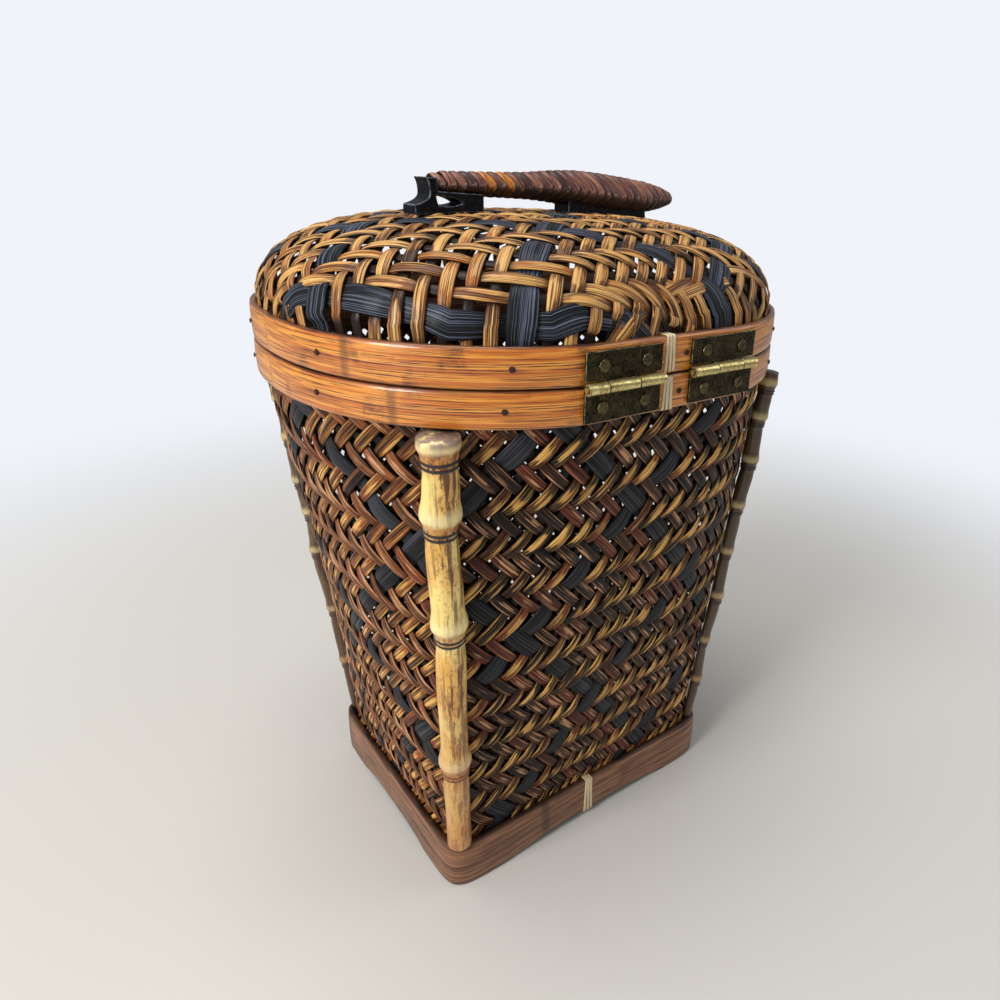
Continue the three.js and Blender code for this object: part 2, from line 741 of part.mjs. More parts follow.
function extrudeAcross(shape, width, segments = 4) {
  const options = { depth: width, bevelEnabled: false, curveSegments: segments };
  const geometry = new THREE.ExtrudeGeometry(shape, options).translate(0, 0, -width / 2);
  return geometry.applyMatrix4(profileXZ);
}

function postFoot() {
  const shape = new THREE.Shape();
  const base = domeUnder(footOuterX);
  const hollowX = footOuterX - postWaist;
  const topX = hollowX + postFlare;
  shape.moveTo(footOuterX, base);
  shape.lineTo(footOuterX, base + postFootHeight);
  shape.quadraticCurveTo(hollowX, base + postFootHeight + postFlare, hollowX, bracketTop);
  shape.quadraticCurveTo(hollowX, postTop - postFlare, topX, postTop);
  shape.lineTo(topX - postWidth, postTop);
  shape.lineTo(gripLeftX + gap * 2, bracketTop);
  shape.lineTo(footInnerX, bracketTop);
  for (const x of along(footInnerX, footOuterX, 5).slice(0, -1)) {
    shape.lineTo(x, domeUnder(x));
  }
  return extrudeAcross(shape, bracketWidth);
}

// The eye is cut right through, over a thin sill, and narrows like a leaf away from the post.
function eye() {
  const shape = new THREE.Shape();
  const x = footOuterX - eyeInset;
  const sill = domeUnder(x) + eyeSill;
  const top = sill + eyeHeight;
  shape.moveTo(x, top);
  shape.quadraticCurveTo(x - eyeLength * 0.7, top, x - eyeLength, sill + eyeHeight * 0.2);
  shape.quadraticCurveTo(x - eyeLength * 0.6, sill - eyeHeight * 0.15, x - eyeLength * 0.1, sill);
  shape.quadraticCurveTo(x, sill + eyeHeight / 2, x, top);
  return extrudeAcross(shape, bracketWidth * 2);
}

function blockFoot() {
  const shape = new THREE.Shape();
  shape.moveTo(-footInnerX, bracketTop);
  shape.lineTo(postFlare - footOuterX, bracketTop);
  for (const x of along(-footOuterX, -footInnerX, 5)) {
    shape.lineTo(x, domeUnder(x));
  }
  return extrudeAcross(shape, bracketWidth);
}

const coreBottom = bracketTop - gap * 3;
const core = box(
  coreEndX, gripLeftX + postFlare, -coreWidth / 2, coreWidth / 2, coreBottom, coreTop);

// The grip's section is a soft lens, ridged along both sides, full in the middle and slight at its ends.
function gripRing(x) {
  const reach = x > gripMidX ? gripLeftReach : gripRightReach;
  const away = (x - gripMidX) / reach;
  const swell = Math.sqrt(Math.max(0, 1 - away * away));
  const ridge = gripRidge - gripRidgeDrop * away * away;
  return along(0, 2 * Math.PI, 16).slice(0, -1).map((angle) => {
    const c = Math.cos(angle);
    const s = Math.sin(angle);
    const y = gripHalfWidth * swell * Math.sign(c) * Math.abs(c) ** (2 / gripSectionPower);
    const rise = s > 0 ? gripRiseTop : gripRiseBelow;
    const z = ridge + rise * swell * Math.sign(s) * Math.abs(s) ** (2 / gripSectionPower);
    return new THREE.Vector3(x, y, z);
  });
}

const gripTip = gripMidX - gripRightReach;
const gripStations = along(0, Math.PI / 2, 6).map((angle) => gripMidX - gripRightReach * Math.sin(angle));
gripStations[gripStations.length - 1] = gripTip + gap * 2;
const grip = skin([...along(gripLeftX, gripMidX, 4).slice(0, -1), ...gripStations].map(gripRing));
const halfRoom = bracketWidth / 2 + gap;
const coreRoom = coreWidth / 2 + gap;
piece('handle_wrap', cut(grip, [
  box(footInnerX - gap, gripLeftX + past, -halfRoom, halfRoom, lidTop, bracketTop + gap),
  box(-footOuterX - gap, -footInnerX + gap, -halfRoom, halfRoom, lidTop, bracketTop + gap),
  box(coreEndX - gap, gripLeftX + past, -coreRoom, coreRoom, coreBottom - gap, coreTop + gap),
]), paint.wrap, handle);

const handleScrewXs = [footOuterX - handleScrewInset, handleScrewInset - footOuterX];
const slatTop = (x) => domeAboveX(x + handleX, weaveThickness) - seatGap;

function handleScrew(x, extra, headExtra) {
  const seat = slatTop(x) - slatThickness - seatGap;
  const profile = [
    [0, seat - handleScrewHead - headExtra],
    [handleScrewRadius * 2 + extra, seat - handleScrewHead - headExtra],
    [handleScrewRadius * 2 + extra, seat],
    [handleScrewRadius + extra, seat],
    [handleScrewRadius + extra, domeUnder(x) + handleScrewGrip + extra],
    [0, domeUnder(x) + handleScrewGrip + extra],
  ];
  return turned(profile, screwSteps, new THREE.Vector3(x, 0, 0), Z);
}

const screwRooms = handleScrewXs.map((x) => handleScrew(x, gap, 2 * gap));
const bracket = join([postFoot(), blockFoot(), core]);
piece('handle_bracket', cut(bracket, [eye(), ...screwRooms]), paint.blackWood, handle);

function backingSlat() {
  const shape = new THREE.Shape();
  const ends = along(-footOuterX - slatOverhang, footOuterX + slatOverhang, 12);
  ends.forEach((x, i) => (i === 0 ? shape.moveTo(x, slatTop(x)) : shape.lineTo(x, slatTop(x))));
  for (const x of ends.reverse()) {
    shape.lineTo(x, slatTop(x) - slatThickness);
  }
  return extrudeAcross(shape, bracketWidth);
}

piece('handle_backing_slat', cut(backingSlat(), screwRooms), paint.hoop, handle);
pieces('handle_screw', handleScrewXs.map((x) => handleScrew(x, 0, 0)), paint.iron, handle);

// Woven dome of the lid, held between the lid's hoops

const domeReaches = along(Math.PI / 2, 0.12, 8).map((angle) => Math.sin(angle) ** (2 / domePlanPower));

function domeRings(depth, reaches) {
  return reaches.map((reach) => ring((turn) => domePoint(turn, reach, depth)));
}

function lowerEdge(depth) {
  return ring((turn) => domePoint(turn, 1, depth).setZ(lidBottom + weaveTopInset));
}

const wovenDome = skin([
  ...domeRings(weaveThickness, domeReaches).reverse(),
  lowerEdge(weaveThickness),
  lowerEdge(0),
  ...domeRings(0, domeReaches),
]);
const shiftedRooms = screwRooms.map((room) => room.clone().translate(handleX, 0, 0));
piece('woven_lid', cut(wovenDome, [lidTie.tunnel, ...shiftedRooms]), paint.weave, lid);

// The origin is on the floor, at the middle of the whole footprint with its hinges and staple.
const extent = new THREE.Box3().setFromObject(basket);
basket.position.y = -(extent.min.y + extent.max.y) / 2;

export default basket;
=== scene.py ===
# %% [markdown]
# # A lidded basket, dressed in Blender
# The basket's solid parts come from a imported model, already at their real size and place. This
# lesson keeps what is right in it and builds over it what a solid can't show: hundreds of woven
# strips, bamboo with its grain and nodes, old brass and lacquer. Shapes are worked out in
# millimetres, as a maker would, and turned into metres only when a mesh is made.

import math

import bmesh
import bpy
import numpy as np
from mathutils import Matrix, Vector


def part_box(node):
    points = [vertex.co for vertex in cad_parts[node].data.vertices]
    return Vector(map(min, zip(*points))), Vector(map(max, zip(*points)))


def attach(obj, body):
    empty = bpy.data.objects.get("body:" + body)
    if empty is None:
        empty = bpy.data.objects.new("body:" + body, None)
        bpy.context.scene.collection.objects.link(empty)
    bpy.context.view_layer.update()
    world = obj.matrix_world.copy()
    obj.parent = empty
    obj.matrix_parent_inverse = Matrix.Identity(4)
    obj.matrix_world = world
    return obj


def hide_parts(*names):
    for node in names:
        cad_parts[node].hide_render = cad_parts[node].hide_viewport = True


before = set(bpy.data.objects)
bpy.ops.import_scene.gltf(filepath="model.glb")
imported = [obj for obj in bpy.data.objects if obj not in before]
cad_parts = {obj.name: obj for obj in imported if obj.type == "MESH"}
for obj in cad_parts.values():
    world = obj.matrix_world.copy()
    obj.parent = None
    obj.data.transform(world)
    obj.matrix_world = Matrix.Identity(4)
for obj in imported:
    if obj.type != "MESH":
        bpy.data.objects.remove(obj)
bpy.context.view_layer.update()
MM = 0.001

# %% [markdown]
# ## The camera
# The picture was taken from above the hinged side, a little to one side of a corner. Place, turn
# and lens could be guessed by eye and nudged; here they come from a fit of the basket's outline
# to the picture, which leaves nothing to nudge. The small lens shift stands for the picture
# having been cropped off its middle.

# %% Camera
camera_place = Vector((240.527, 360.437, 383.651)) * MM
heading, tilt, roll = -2.2729, -0.3831, 0.0474
focal_pixels, middle_x, middle_y, image_pixels = 747.98, 601.27, 475.26, 1000

view_line = Vector((
    math.cos(tilt) * math.cos(heading), math.cos(tilt) * math.sin(heading), math.sin(tilt)))
level_right = view_line.cross(Vector((0, 0, 1))).normalized()
level_up = level_right.cross(view_line)
camera_right = level_right * math.cos(roll) + level_up * math.sin(roll)
camera_up = level_up * math.cos(roll) - level_right * math.sin(roll)

camera_data = bpy.data.cameras.new("camera")
camera_data.sensor_width = 36
camera_data.lens = focal_pixels / image_pixels * camera_data.sensor_width
camera_data.shift_x = (image_pixels / 2 - middle_x) / image_pixels
camera_data.shift_y = (middle_y - image_pixels / 2) / image_pixels
camera_data.clip_start, camera_data.clip_end = 0.01, 30
camera = bpy.data.objects.new("camera", camera_data)
camera.matrix_world = Matrix.Translation(camera_place) @ Matrix(
    (camera_right, camera_up, -view_line)).transposed().to_4x4()
bpy.context.scene.collection.objects.link(camera)
bpy.context.scene.camera = camera
print("lens, mm:", round(camera_data.lens, 2), "camera height, m:", round(camera_place.z, 3))

# %% [markdown]
# ## Colours and shader wiring
# Every finish here is wired from a few node types. Written out each time, the nodes would bury
# what a finish is made of, so short helpers add a node and fill its sockets, do arithmetic, and
# lay colours over one another where masks say so. Colours are written as the eye reads them, 0
# to 255, and turned into the linear values that shaders use.

# %% Colours, and one node at a time
def colour(red, green, blue):
    """A colour read from 0 to 255, as a linear one with alpha."""
    def linear(value):
        value /= 255
        return value / 12.92 if value <= 0.04045 else ((value + 0.055) / 1.055) ** 2.4
    return (linear(red), linear(green), linear(blue), 1.0)


def fill(tree, sockets, values):
    """Sets sockets, by name or number, or links them where the value is a node's output."""
    for key, value in values.items():
        if isinstance(value, bpy.types.NodeSocket):
            tree.links.new(value, sockets[key])
        else:
            sockets[key].default_value = value


def put(tree, kind, inputs=None, **settings):
    """Adds a node. Settings are its own properties, and inputs are for its sockets."""
    made = tree.nodes.new(kind)
    for key, value in settings.items():
        setattr(made, key, value)
    fill(tree, made.inputs, inputs or {})
    return made


print("a mid brown, linear:", [round(v, 3) for v in colour(120, 80, 50)])

# %% Arithmetic, masks and places
def maths(tree, operation, first, second=0.0, clamp=False):
    return put(tree, "ShaderNodeMath", {0: first, 1: second},
               operation=operation, use_clamp=clamp).outputs[0]


def times(tree, product, *others):
    """Masks and numbers multiplied with one another."""
    for other in others:
        product = maths(tree, "MULTIPLY", product, other)
    return product


def between(tree, value, start, end):
    """0 below start, 1 above end, and a soft step from one to the other."""
    return put(tree, "ShaderNodeMapRange", {0: value, 1: start, 2: end},
               interpolation_type="SMOOTHSTEP").outputs[0]


def scaled(tree, value, low, high):
    """A value from 0 to 1, stretched to run from low to high."""
    return put(tree, "ShaderNodeMapRange", {0: value, 3: low, 4: high}).outputs[0]


def mark(tree, name):
    """A number that the mesh carries at each point, such as how far across a strip it is."""
    return put(tree, "ShaderNodeAttribute", attribute_name=name).outputs["Fac"]


def strip_edges(tree, start, end):
    """A mask that grows towards both edges of a strip; start and end go from 0 to 1."""
    return between(tree, maths(tree, "ABSOLUTE", mark(tree, "across")), start, end)


def place_on(tree, kind):
    """Where a point is on its object, as separate x, y and z."""
    spot = put(tree, "ShaderNodeTexCoord").outputs[kind]
    return put(tree, "ShaderNodeSeparateXYZ", {0: spot}).outputs


def mixed(tree, share, low, high):
    """Two colours mixed: share 0 gives low and share 1 gives high."""
    return put(tree, "ShaderNodeMix", {0: share, 6: low, 7: high}, data_type="RGBA").outputs[2]


def coats(tree, under, *layers):
    """Colours laid over one another: each is a colour, a mask, and the most that it covers."""
    for shade, mask, most in layers:
        under = mixed(tree, times(tree, mask, most), under, shade)
    return under


print("a quarter coat of white over black:", round(0.25 * colour(255, 255, 255)[0], 2))

# %% Materials and shader groups
def socket_names(values):
    """Keywords as sockets are named: Base_Color is Base Color."""
    return {key.replace("_", " "): value for key, value in values.items()}


def new_material(name, **shader):
    """A material with its own Principled shader. Returns the material, its tree and that shader."""
    material = bpy.data.materials.new(name)
    material.use_nodes = True
    tree = material.node_tree
    principled = tree.nodes["Principled BSDF"]
    fill(tree, principled.inputs, socket_names(shader))
    return material, tree, principled


def wire(tree, shader, relief=None, **inputs):
    """Sends values to the shader, and as relief a height with its depth in millimetres."""
    fill(tree, shader.inputs, socket_names(inputs))
    if relief:
        height, depth_mm = relief
        bump = put(tree, "ShaderNodeBump",
                   {"Strength": 1.0, "Distance": depth_mm * MM, "Height": height})
        tree.links.new(bump.outputs[0], shader.inputs["Normal"])


def new_group(name, inputs, outputs):
    """An empty shader group with named number sockets. Returns it, its inputs and its outlet."""
    group = bpy.data.node_groups.new(name, "ShaderNodeTree")
    for socket, value in inputs.items():
        made = group.interface.new_socket(socket, in_out="INPUT", socket_type="NodeSocketFloat")
        made.default_value = value
    for socket in outputs:
        group.interface.new_socket(socket, in_out="OUTPUT", socket_type="NodeSocketFloat")
    inlet = group.nodes.new("NodeGroupInput")
    outlet = group.nodes.new("NodeGroupOutput")
    return group, inlet.outputs, outlet.inputs


def use(tree, group, **inputs):
    """Places a group in a material and fills its sockets. Returns its outputs."""
    return put(tree, "ShaderNodeGroup", socket_names(inputs), node_tree=group).outputs


print("groups before any effect:", len(bpy.data.node_groups))

# %% [markdown]
# ## Three effects that many finishes share
# Split bamboo, rattan and cane are bundles of fibres, so their colour runs in fine lines along
# the piece. A painted texture would need unwrapping; instead each strip's mesh carries how far
# across and along it every point is, and a noise is stretched along those numbers. The second
# group gives cloudy patches that don't follow any direction, for stains and tarnish. The third
# says where hands and years have rubbed the dark finish off: on what stands highest.

# %% Fibre lines along a strip
fibre_group, inlet, outlet = new_group(
    "fibre lines", {"Lines": 6.0, "Length mm": 40.0}, ["Fine", "Broad"])
tone_apart, broad_share = 91.0, 0.28
drift = times(fibre_group, mark(fibre_group, "tone"), tone_apart)
pace = maths(fibre_group, "DIVIDE", mark(fibre_group, "along"),
             times(fibre_group, inlet["Length mm"], MM))
for socket, share, roughness in (("Fine", 1.0, 0.65), ("Broad", broad_share, 0.5)):
    width = times(fibre_group, mark(fibre_group, "across"), inlet["Lines"], share)
    place = put(fibre_group, "ShaderNodeCombineXYZ", {0: width, 1: pace, 2: drift}).outputs[0]
    noise = put(fibre_group, "ShaderNodeTexNoise",
                {"Vector": place, "Scale": 1.0, "Detail": 3.0, "Roughness": roughness})
    fill(fibre_group, outlet, {socket: noise.outputs[0]})
print("fibre lines:", len(fibre_group.nodes), "nodes")

# %% Cloudy patches
patch_group, inlet, outlet = new_group(
    "cloudy patches", {"Size mm": 12.0, "Upright stretch": 1.0, "Low": 0.4, "High": 0.6},
    ["Patches"])
spot = put(patch_group, "ShaderNodeTexCoord").outputs["Object"]
level_scale = maths(patch_group, "DIVIDE", 1.0 / MM, inlet["Size mm"])
upright_scale = maths(patch_group, "DIVIDE", level_scale, inlet["Upright stretch"])
scale = put(patch_group, "ShaderNodeCombineXYZ",
            {0: level_scale, 1: level_scale, 2: upright_scale}).outputs[0]
spot = put(patch_group, "ShaderNodeVectorMath", {0: spot, 1: scale},
           operation="MULTIPLY").outputs[0]
noise = put(patch_group, "ShaderNodeTexNoise",
            {"Vector": spot, "Scale": 1.0, "Detail": 4.0, "Roughness": 0.6}).outputs[0]
fill(patch_group, outlet, {"Patches": between(patch_group, noise, inlet["Low"], inlet["High"])})


def patches(tree, size_mm, low, high, stretch=1.0):
    """Cloudy patches of a size, cut between low and high and drawn out upwards."""
    return use(tree, patch_group, Size_mm=size_mm, Upright_stretch=stretch,
               Low=low, High=high)["Patches"]


print("cloudy patches:", len(patch_group.nodes), "nodes")

# %% Rubbed places
rub_group, inlet, outlet = new_group(
    "rubbed places", {"Amount": 0.5, "Patch mm": 9.0, "Fibres": 0.5}, ["Rubbed"])
cloudy_by, streaky_by, softness = 0.5, 4.2, 0.3
standing = between(rub_group, mark(rub_group, "lift"), 0.4, 1.7)
cloudy = maths(rub_group, "SUBTRACT", patches(rub_group, inlet["Patch mm"], 0.2, 0.8), 0.5)
streaky = maths(rub_group, "SUBTRACT", inlet["Fibres"], 0.5)
ragged = maths(rub_group, "ADD", standing, times(rub_group, cloudy, cloudy_by))
ragged = maths(rub_group, "ADD", ragged, times(rub_group, streaky, streaky_by))
level = maths(rub_group, "SUBTRACT", 1.0, inlet["Amount"])
rubbed = between(rub_group, ragged, level, maths(rub_group, "ADD", level, softness))
fill(rub_group, outlet, {"Rubbed": rubbed})
print("shared effects:", [group.name for group in bpy.data.node_groups])

# %% [markdown]
# ## Finishes of the woven strips
# The strips are split cane, stained dark, varnished, and since rubbed back to gold on their
# crowns. A picture laid on them would repeat its marks, so one recipe makes three finishes: for
# the wall's climbing strips, for its darker falling ones and for the lid's. It begins with a
# stain that differs from strip to strip, with painted light on the wall's lit side, towards +X:
# a lighter, warmer colour there. The rubbed colour goes over that, then pale and dark fibre
# lines, pale edge lines that are partly rubbed edges and partly painted highlight, and painted
# shade where a strip dives under another. The black bands are the same cane in fine strands,
# dyed black, with a painted cool sheen on the strands, lighter on the lid and duller on the wall.

# %% Stained strips
def strip_finish(name, dark, brown, warm, gold, rub, shine, painted_light_share=0.0):
    """Stain from dark over brown to warm, rubbed to gold, lighter on the lit side as painted light;
    rub, shine and painted_light_share go to 1.
    """
    material, tree, shader = new_material(
        name, Coat_Weight=shine, Coat_Roughness=0.3, Specular_IOR_Level=0.15)
    fibres = use(tree, fibre_group, Lines=6.0, Length_mm=44.0)
    fine, broad = fibres["Fine"], fibres["Broad"]
    tone, lift = mark(tree, "tone"), mark(tree, "lift")
    spot = place_on(tree, "Object")
    # Painted light: on the side towards +X, which the main lamp lights, the stain turns lighter and
    # warmer.
    painted_lit_side = between(tree, maths(tree, "SUBTRACT", spot[0], spot[1]), -0.01, 0.05)
    stain = coats(
        tree, mixed(tree, between(tree, tone, 0.05, 0.75), dark, brown),
        (warm, between(tree, tone, 0.55, 0.95), 1.0),
        (colour(196, 112, 52), times(tree, painted_lit_side, between(tree, broad, 0.3, 0.6)), painted_light_share))
    rubbed = use(tree, rub_group, Amount=rub, Patch_mm=22.0, Fibres=broad)["Rubbed"]
    worn = mixed(tree, between(tree, broad, 0.35, 0.65), warm, gold)
    # The pale edge lines are partly rubbed edges and partly a painted highlight. The last coat
    # below is painted shade, darkest where a strip dives under another.
    edge = times(tree, strip_edges(tree, 0.6, 0.8), strip_edges(tree, 0.98, 0.88),
                 between(tree, lift, -0.3, 0.8), between(tree, broad, 0.44, 0.58))
    wood = coats(
        tree, mixed(tree, rubbed, stain, worn),
        (gold, edge, 0.65),
        (gold, between(tree, fine, 0.55, 0.66), 0.5),
        (dark, between(tree, fine, 0.52, 0.42), 0.9),
        (dark, between(tree, lift, 0.25, -0.95), 1.0))
    wire(tree, shader, (fine, 0.4), Base_Color=wood, Roughness=scaled(tree, fine, 0.68, 0.4))
    return material


wall_strip = strip_finish(
    "stained wall strip", colour(13, 5, 2), colour(84, 42, 20), colour(126, 58, 24),
    colour(236, 182, 98), rub=0.42, shine=0.2, painted_light_share=0.6)
dark_strip = strip_finish(
    "dark wall strip", colour(11, 4, 2), colour(62, 27, 16), colour(106, 42, 24),
    colour(206, 152, 108), rub=0.2, shine=0.2, painted_light_share=0.5)
lid_strip = strip_finish(
    "stained lid strip", colour(34, 17, 8), colour(156, 100, 58), colour(188, 114, 50),
    colour(228, 178, 106), rub=0.85, shine=0.3)
print("strip finishes:", [finish.name for finish in (wall_strip, dark_strip, lid_strip)])

# %% Black bands
def black_finish(name, shine):
    material, tree, shader = new_material(
        name, Coat_Weight=0.12, Coat_Roughness=0.3, Specular_IOR_Level=0.2)
    fine = use(tree, fibre_group, Lines=13.0, Length_mm=90.0)["Fine"]
    # The pale strand lines are partly the strands themselves and partly a painted cool sheen, given
    # as shine: lighter in the lid's copy, duller in the wall's.
    strands = between(tree, fine, 0.5, 0.62)
    wire(tree, shader, (fine, 0.6), Base_Color=mixed(tree, strands, colour(5, 5, 8), shine),
         Roughness=scaled(tree, strands, 0.62, 0.36))
    return material


wall_black = black_finish("black wall strands", colour(68, 70, 80))
lid_black = black_finish("black lid strands", colour(100, 107, 126))
print("black bands:", wall_black.name, "and", lid_black.name)

# %% [markdown]
# ## Bamboo, ties and the grip's cane
# The hoops are wide splits of bamboo, oiled orange and varnished, with a dark band where the
# stem had a node. The foot hoop is the same wood left dull and dark. A plain wood pattern would
# run straight through a hoop, so they share the strips' fibre lines, which follow it round, but
# have far more of them, because a hoop is wide and a fibre is not. The node's place is a number
# on the mesh, so that the ridge and its dark line always fall together. The ties are plain pale
# cane. The grip's cane is red brown, with painted shade between its turns and on its underside
# and a painted highlight along its ridges.

# %% Varnished hoops, and the dull foot hoop
def bamboo_finish(name, pale, mid, dark, coat, lines, stains):
    material, tree, shader = new_material(name, Coat_Weight=coat, Coat_Roughness=0.12)
    fibres = use(tree, fibre_group, Lines=lines, Length_mm=34.0)
    fine = fibres["Fine"]
    stained = times(tree, patches(tree, 15.0, 0.54, 0.7), between(tree, fine, 0.62, 0.42))
    wood = coats(
        tree, mixed(tree, between(tree, fibres["Broad"], 0.34, 0.62), mid, pale),
        (dark, between(tree, fine, 0.49, 0.36), 0.95),
        (dark, stained, stains),
        (dark, strip_edges(tree, 0.84, 1.0), 0.8),
        (dark, between(tree, mark(tree, "knot"), 0.1, 0.9), 0.5))
    wire(tree, shader, (fine, 0.16), Base_Color=wood, Roughness=scaled(tree, fine, 0.5, 0.32))
    return material


hoop_finish = bamboo_finish(
    "varnished bamboo", colour(236, 158, 62), colour(200, 108, 30), colour(70, 24, 8),
    coat=0.6, lines=20.0, stains=0.8)
foot_finish = bamboo_finish(
    "dull dark bamboo", colour(158, 110, 76), colour(110, 66, 42), colour(30, 14, 9),
    coat=0.05, lines=30.0, stains=0.5)
print("bamboo finishes:", hoop_finish.name, "and", foot_finish.name)

# %% Pale cane of the ties
tie_finish, tree, shader = new_material("plain tie cane", Coat_Weight=0.1, Coat_Roughness=0.25)
fine = use(tree, fibre_group, Lines=4.0, Length_mm=30.0)["Fine"]
tie_pale, tie_mid, tie_dark = colour(250, 234, 198), colour(240, 220, 178), colour(168, 126, 80)
wood = coats(
    tree, mixed(tree, between(tree, mark(tree, "tone"), 0.55, 0.95), tie_mid, tie_pale),
    (tie_dark, between(tree, fine, 0.52, 0.36), 0.8),
    (tie_dark, strip_edges(tree, 0.7, 1.0), 0.7))
wire(tree, shader, (fine, 0.25), Base_Color=wood, Roughness=scaled(tree, fine, 0.6, 0.38))
print("ties:", tie_finish.name)

# %% Red brown cane of the grip
grip_finish, tree, shader = new_material(
    "red brown grip cane", Coat_Weight=0.35, Coat_Roughness=0.28, Specular_IOR_Level=0.4)
fibres = use(tree, fibre_group, Lines=4.0, Length_mm=14.0)
fine, broad = fibres["Fine"], fibres["Broad"]
tone, lift = mark(tree, "tone"), mark(tree, "lift")
# Painted highlight along the ridges; painted shade at each turn's edges, between the turns, and on
# the underside, where lift is below 0.
from_ridge = maths(tree, "ABSOLUTE", maths(tree, "SUBTRACT", lift, 0.05))
ridge = times(tree, between(tree, from_ridge, 0.13, 0.02), between(tree, broad, 0.4, 0.6))
wood = coats(
    tree, mixed(tree, between(tree, tone, 0.0, 0.8), colour(82, 40, 34), colour(160, 100, 78)),
    (colour(226, 136, 36), between(tree, tone, 0.85, 0.95), 1.0),
    (colour(176, 132, 96), between(tree, broad, 0.5, 0.7), 0.6),
    (colour(26, 10, 8), between(tree, fine, 0.54, 0.4), 0.85),
    (colour(18, 8, 6), strip_edges(tree, 0.72, 0.98), 0.85),
    (colour(12, 7, 6), between(tree, lift, -0.02, -0.35), 0.9),
    (colour(206, 176, 166), ridge, 0.5))
wire(tree, shader, (fine, 0.4), Base_Color=wood, Roughness=scaled(tree, fine, 0.6, 0.38))
print("grip:", grip_finish.name)

# %% [markdown]
# ## Root cane of the corner posts
# The thick post is pale and shiny, streaked red brown where the weather got at it; the thin ones
# have gone dark all over. A stem like this has its marks in step with its nodes: a dark double
# ring, a brown band above it, then a pale crown on the swelling, which is a painted highlight.
# Painting them would never meet the real nodes, so the mesh carries how near a node is and how
# far up from the last one, and the finish is laid on in coats by those numbers, with patches
# breaking up every border.

# %% Root cane
post_finish, tree, shader = new_material(
    "root cane", Coat_Weight=0.5, Coat_Roughness=0.2, Roughness=0.42)
above, height = mark(tree, "above"), place_on(tree, "Generated")[2]
streaks = patches(tree, 2.4, 0.47, 0.58, stretch=16.0)
specks = patches(tree, 1.5, 0.52, 0.64, stretch=1.8)
clouds = patches(tree, 17.0, 0.42, 0.62, stretch=2.2)
turned_out = times(tree, between(tree, mark(tree, "across"), -0.75, 0.55), 0.75)
weathered = maths(tree, "ADD", turned_out, times(tree, clouds, 0.4), clamp=True)
# Painted highlight: a pale crown on each swelling above a node, where the aged dark is held back
# too.
crown_highlight = times(tree, between(tree, above, 0.3, 0.45), between(tree, above, 0.85, 0.55))
speckled = maths(tree, "ADD", times(tree, specks, 0.5), 0.5)
ring = maths(tree, "ADD", mark(tree, "knot"), times(tree, specks, 0.3))
cut_end = times(tree, between(tree, height, 0.982, 0.996), between(tree, clouds, 0.2, 0.9))
aged_outside_highlight = maths(tree, "SUBTRACT", 0.95, times(tree, crown_highlight, 0.5))
wood = coats(
    tree, mixed(tree, clouds, colour(252, 220, 130), colour(230, 172, 76)),
    (colour(84, 30, 6), times(tree, streaks, weathered), 0.92),
    (colour(96, 50, 20), times(tree, specks, weathered), 0.6),
    (colour(255, 240, 180), crown_highlight, 0.6),
    (colour(168, 88, 20), times(tree, between(tree, above, 0.5, 0.25), speckled), 0.95),
    (colour(34, 15, 10), between(tree, ring, 0.25, 0.6), 1.0),
    (colour(178, 98, 38), between(tree, height, 0.6, 0.05), 0.6),
    (colour(146, 122, 108), cut_end, 1.0),
    (colour(52, 27, 15), times(tree, mark(tree, "tone"), aged_outside_highlight), 1.0))
wire(tree, shader, (streaks, 0.12), Base_Color=wood)
print("posts:", post_finish.name)

# %% [markdown]
# ## Metal and lacquer
# The hinges are brass gone olive with age, bright only where the knuckles rub, and the nails are
# dark iron. One even metal would look new; old metal needs little colour and much variation in
# roughness, so patches drive both.
# The bracket is black lacquer over carved wood. Edges lose their finish first, so lacquer and
# brass each have a paler finish for the eased edges, which is partly that wear and partly a
# painted highlight along the edge.

# %% Brass and iron
def grime(tree, coarse_mm, fine_mm, low, high):
    """Fine patches, and how dirty the metal is where fine and coarse patches come together."""
    fine = patches(tree, fine_mm, 0.4, 0.62)
    return fine, times(tree, maths(tree, "ADD", patches(tree, coarse_mm, low, high), fine), 0.5)


def metal_finish(name, clean, tarnish, patch_mm, roughness):
    material, tree, shader = new_material(name)
    fine, dirt = grime(tree, patch_mm, patch_mm / 6, 0.36, 0.64)
    wire(tree, shader, (fine, 0.06), Base_Color=mixed(tree, dirt, clean, tarnish),
         Metallic=scaled(tree, dirt, 1.0, 0.55),
         Roughness=scaled(tree, dirt, roughness, roughness + 0.25))
    return material


old_brass = metal_finish("old brass", colour(104, 92, 58), colour(30, 25, 16), 7.0, 0.34)
rubbed_brass = metal_finish(
    "rubbed brass", colour(214, 188, 120), colour(122, 104, 58), 5.0, 0.24)
screw_brass = metal_finish("screw brass", colour(118, 104, 68), colour(44, 38, 24), 6.0, 0.26)
dark_iron = metal_finish("dark iron", colour(88, 70, 60), colour(36, 26, 22), 2.0, 0.4)
print("plain metals:", [metal.name for metal in (old_brass, rubbed_brass, screw_brass, dark_iron)])

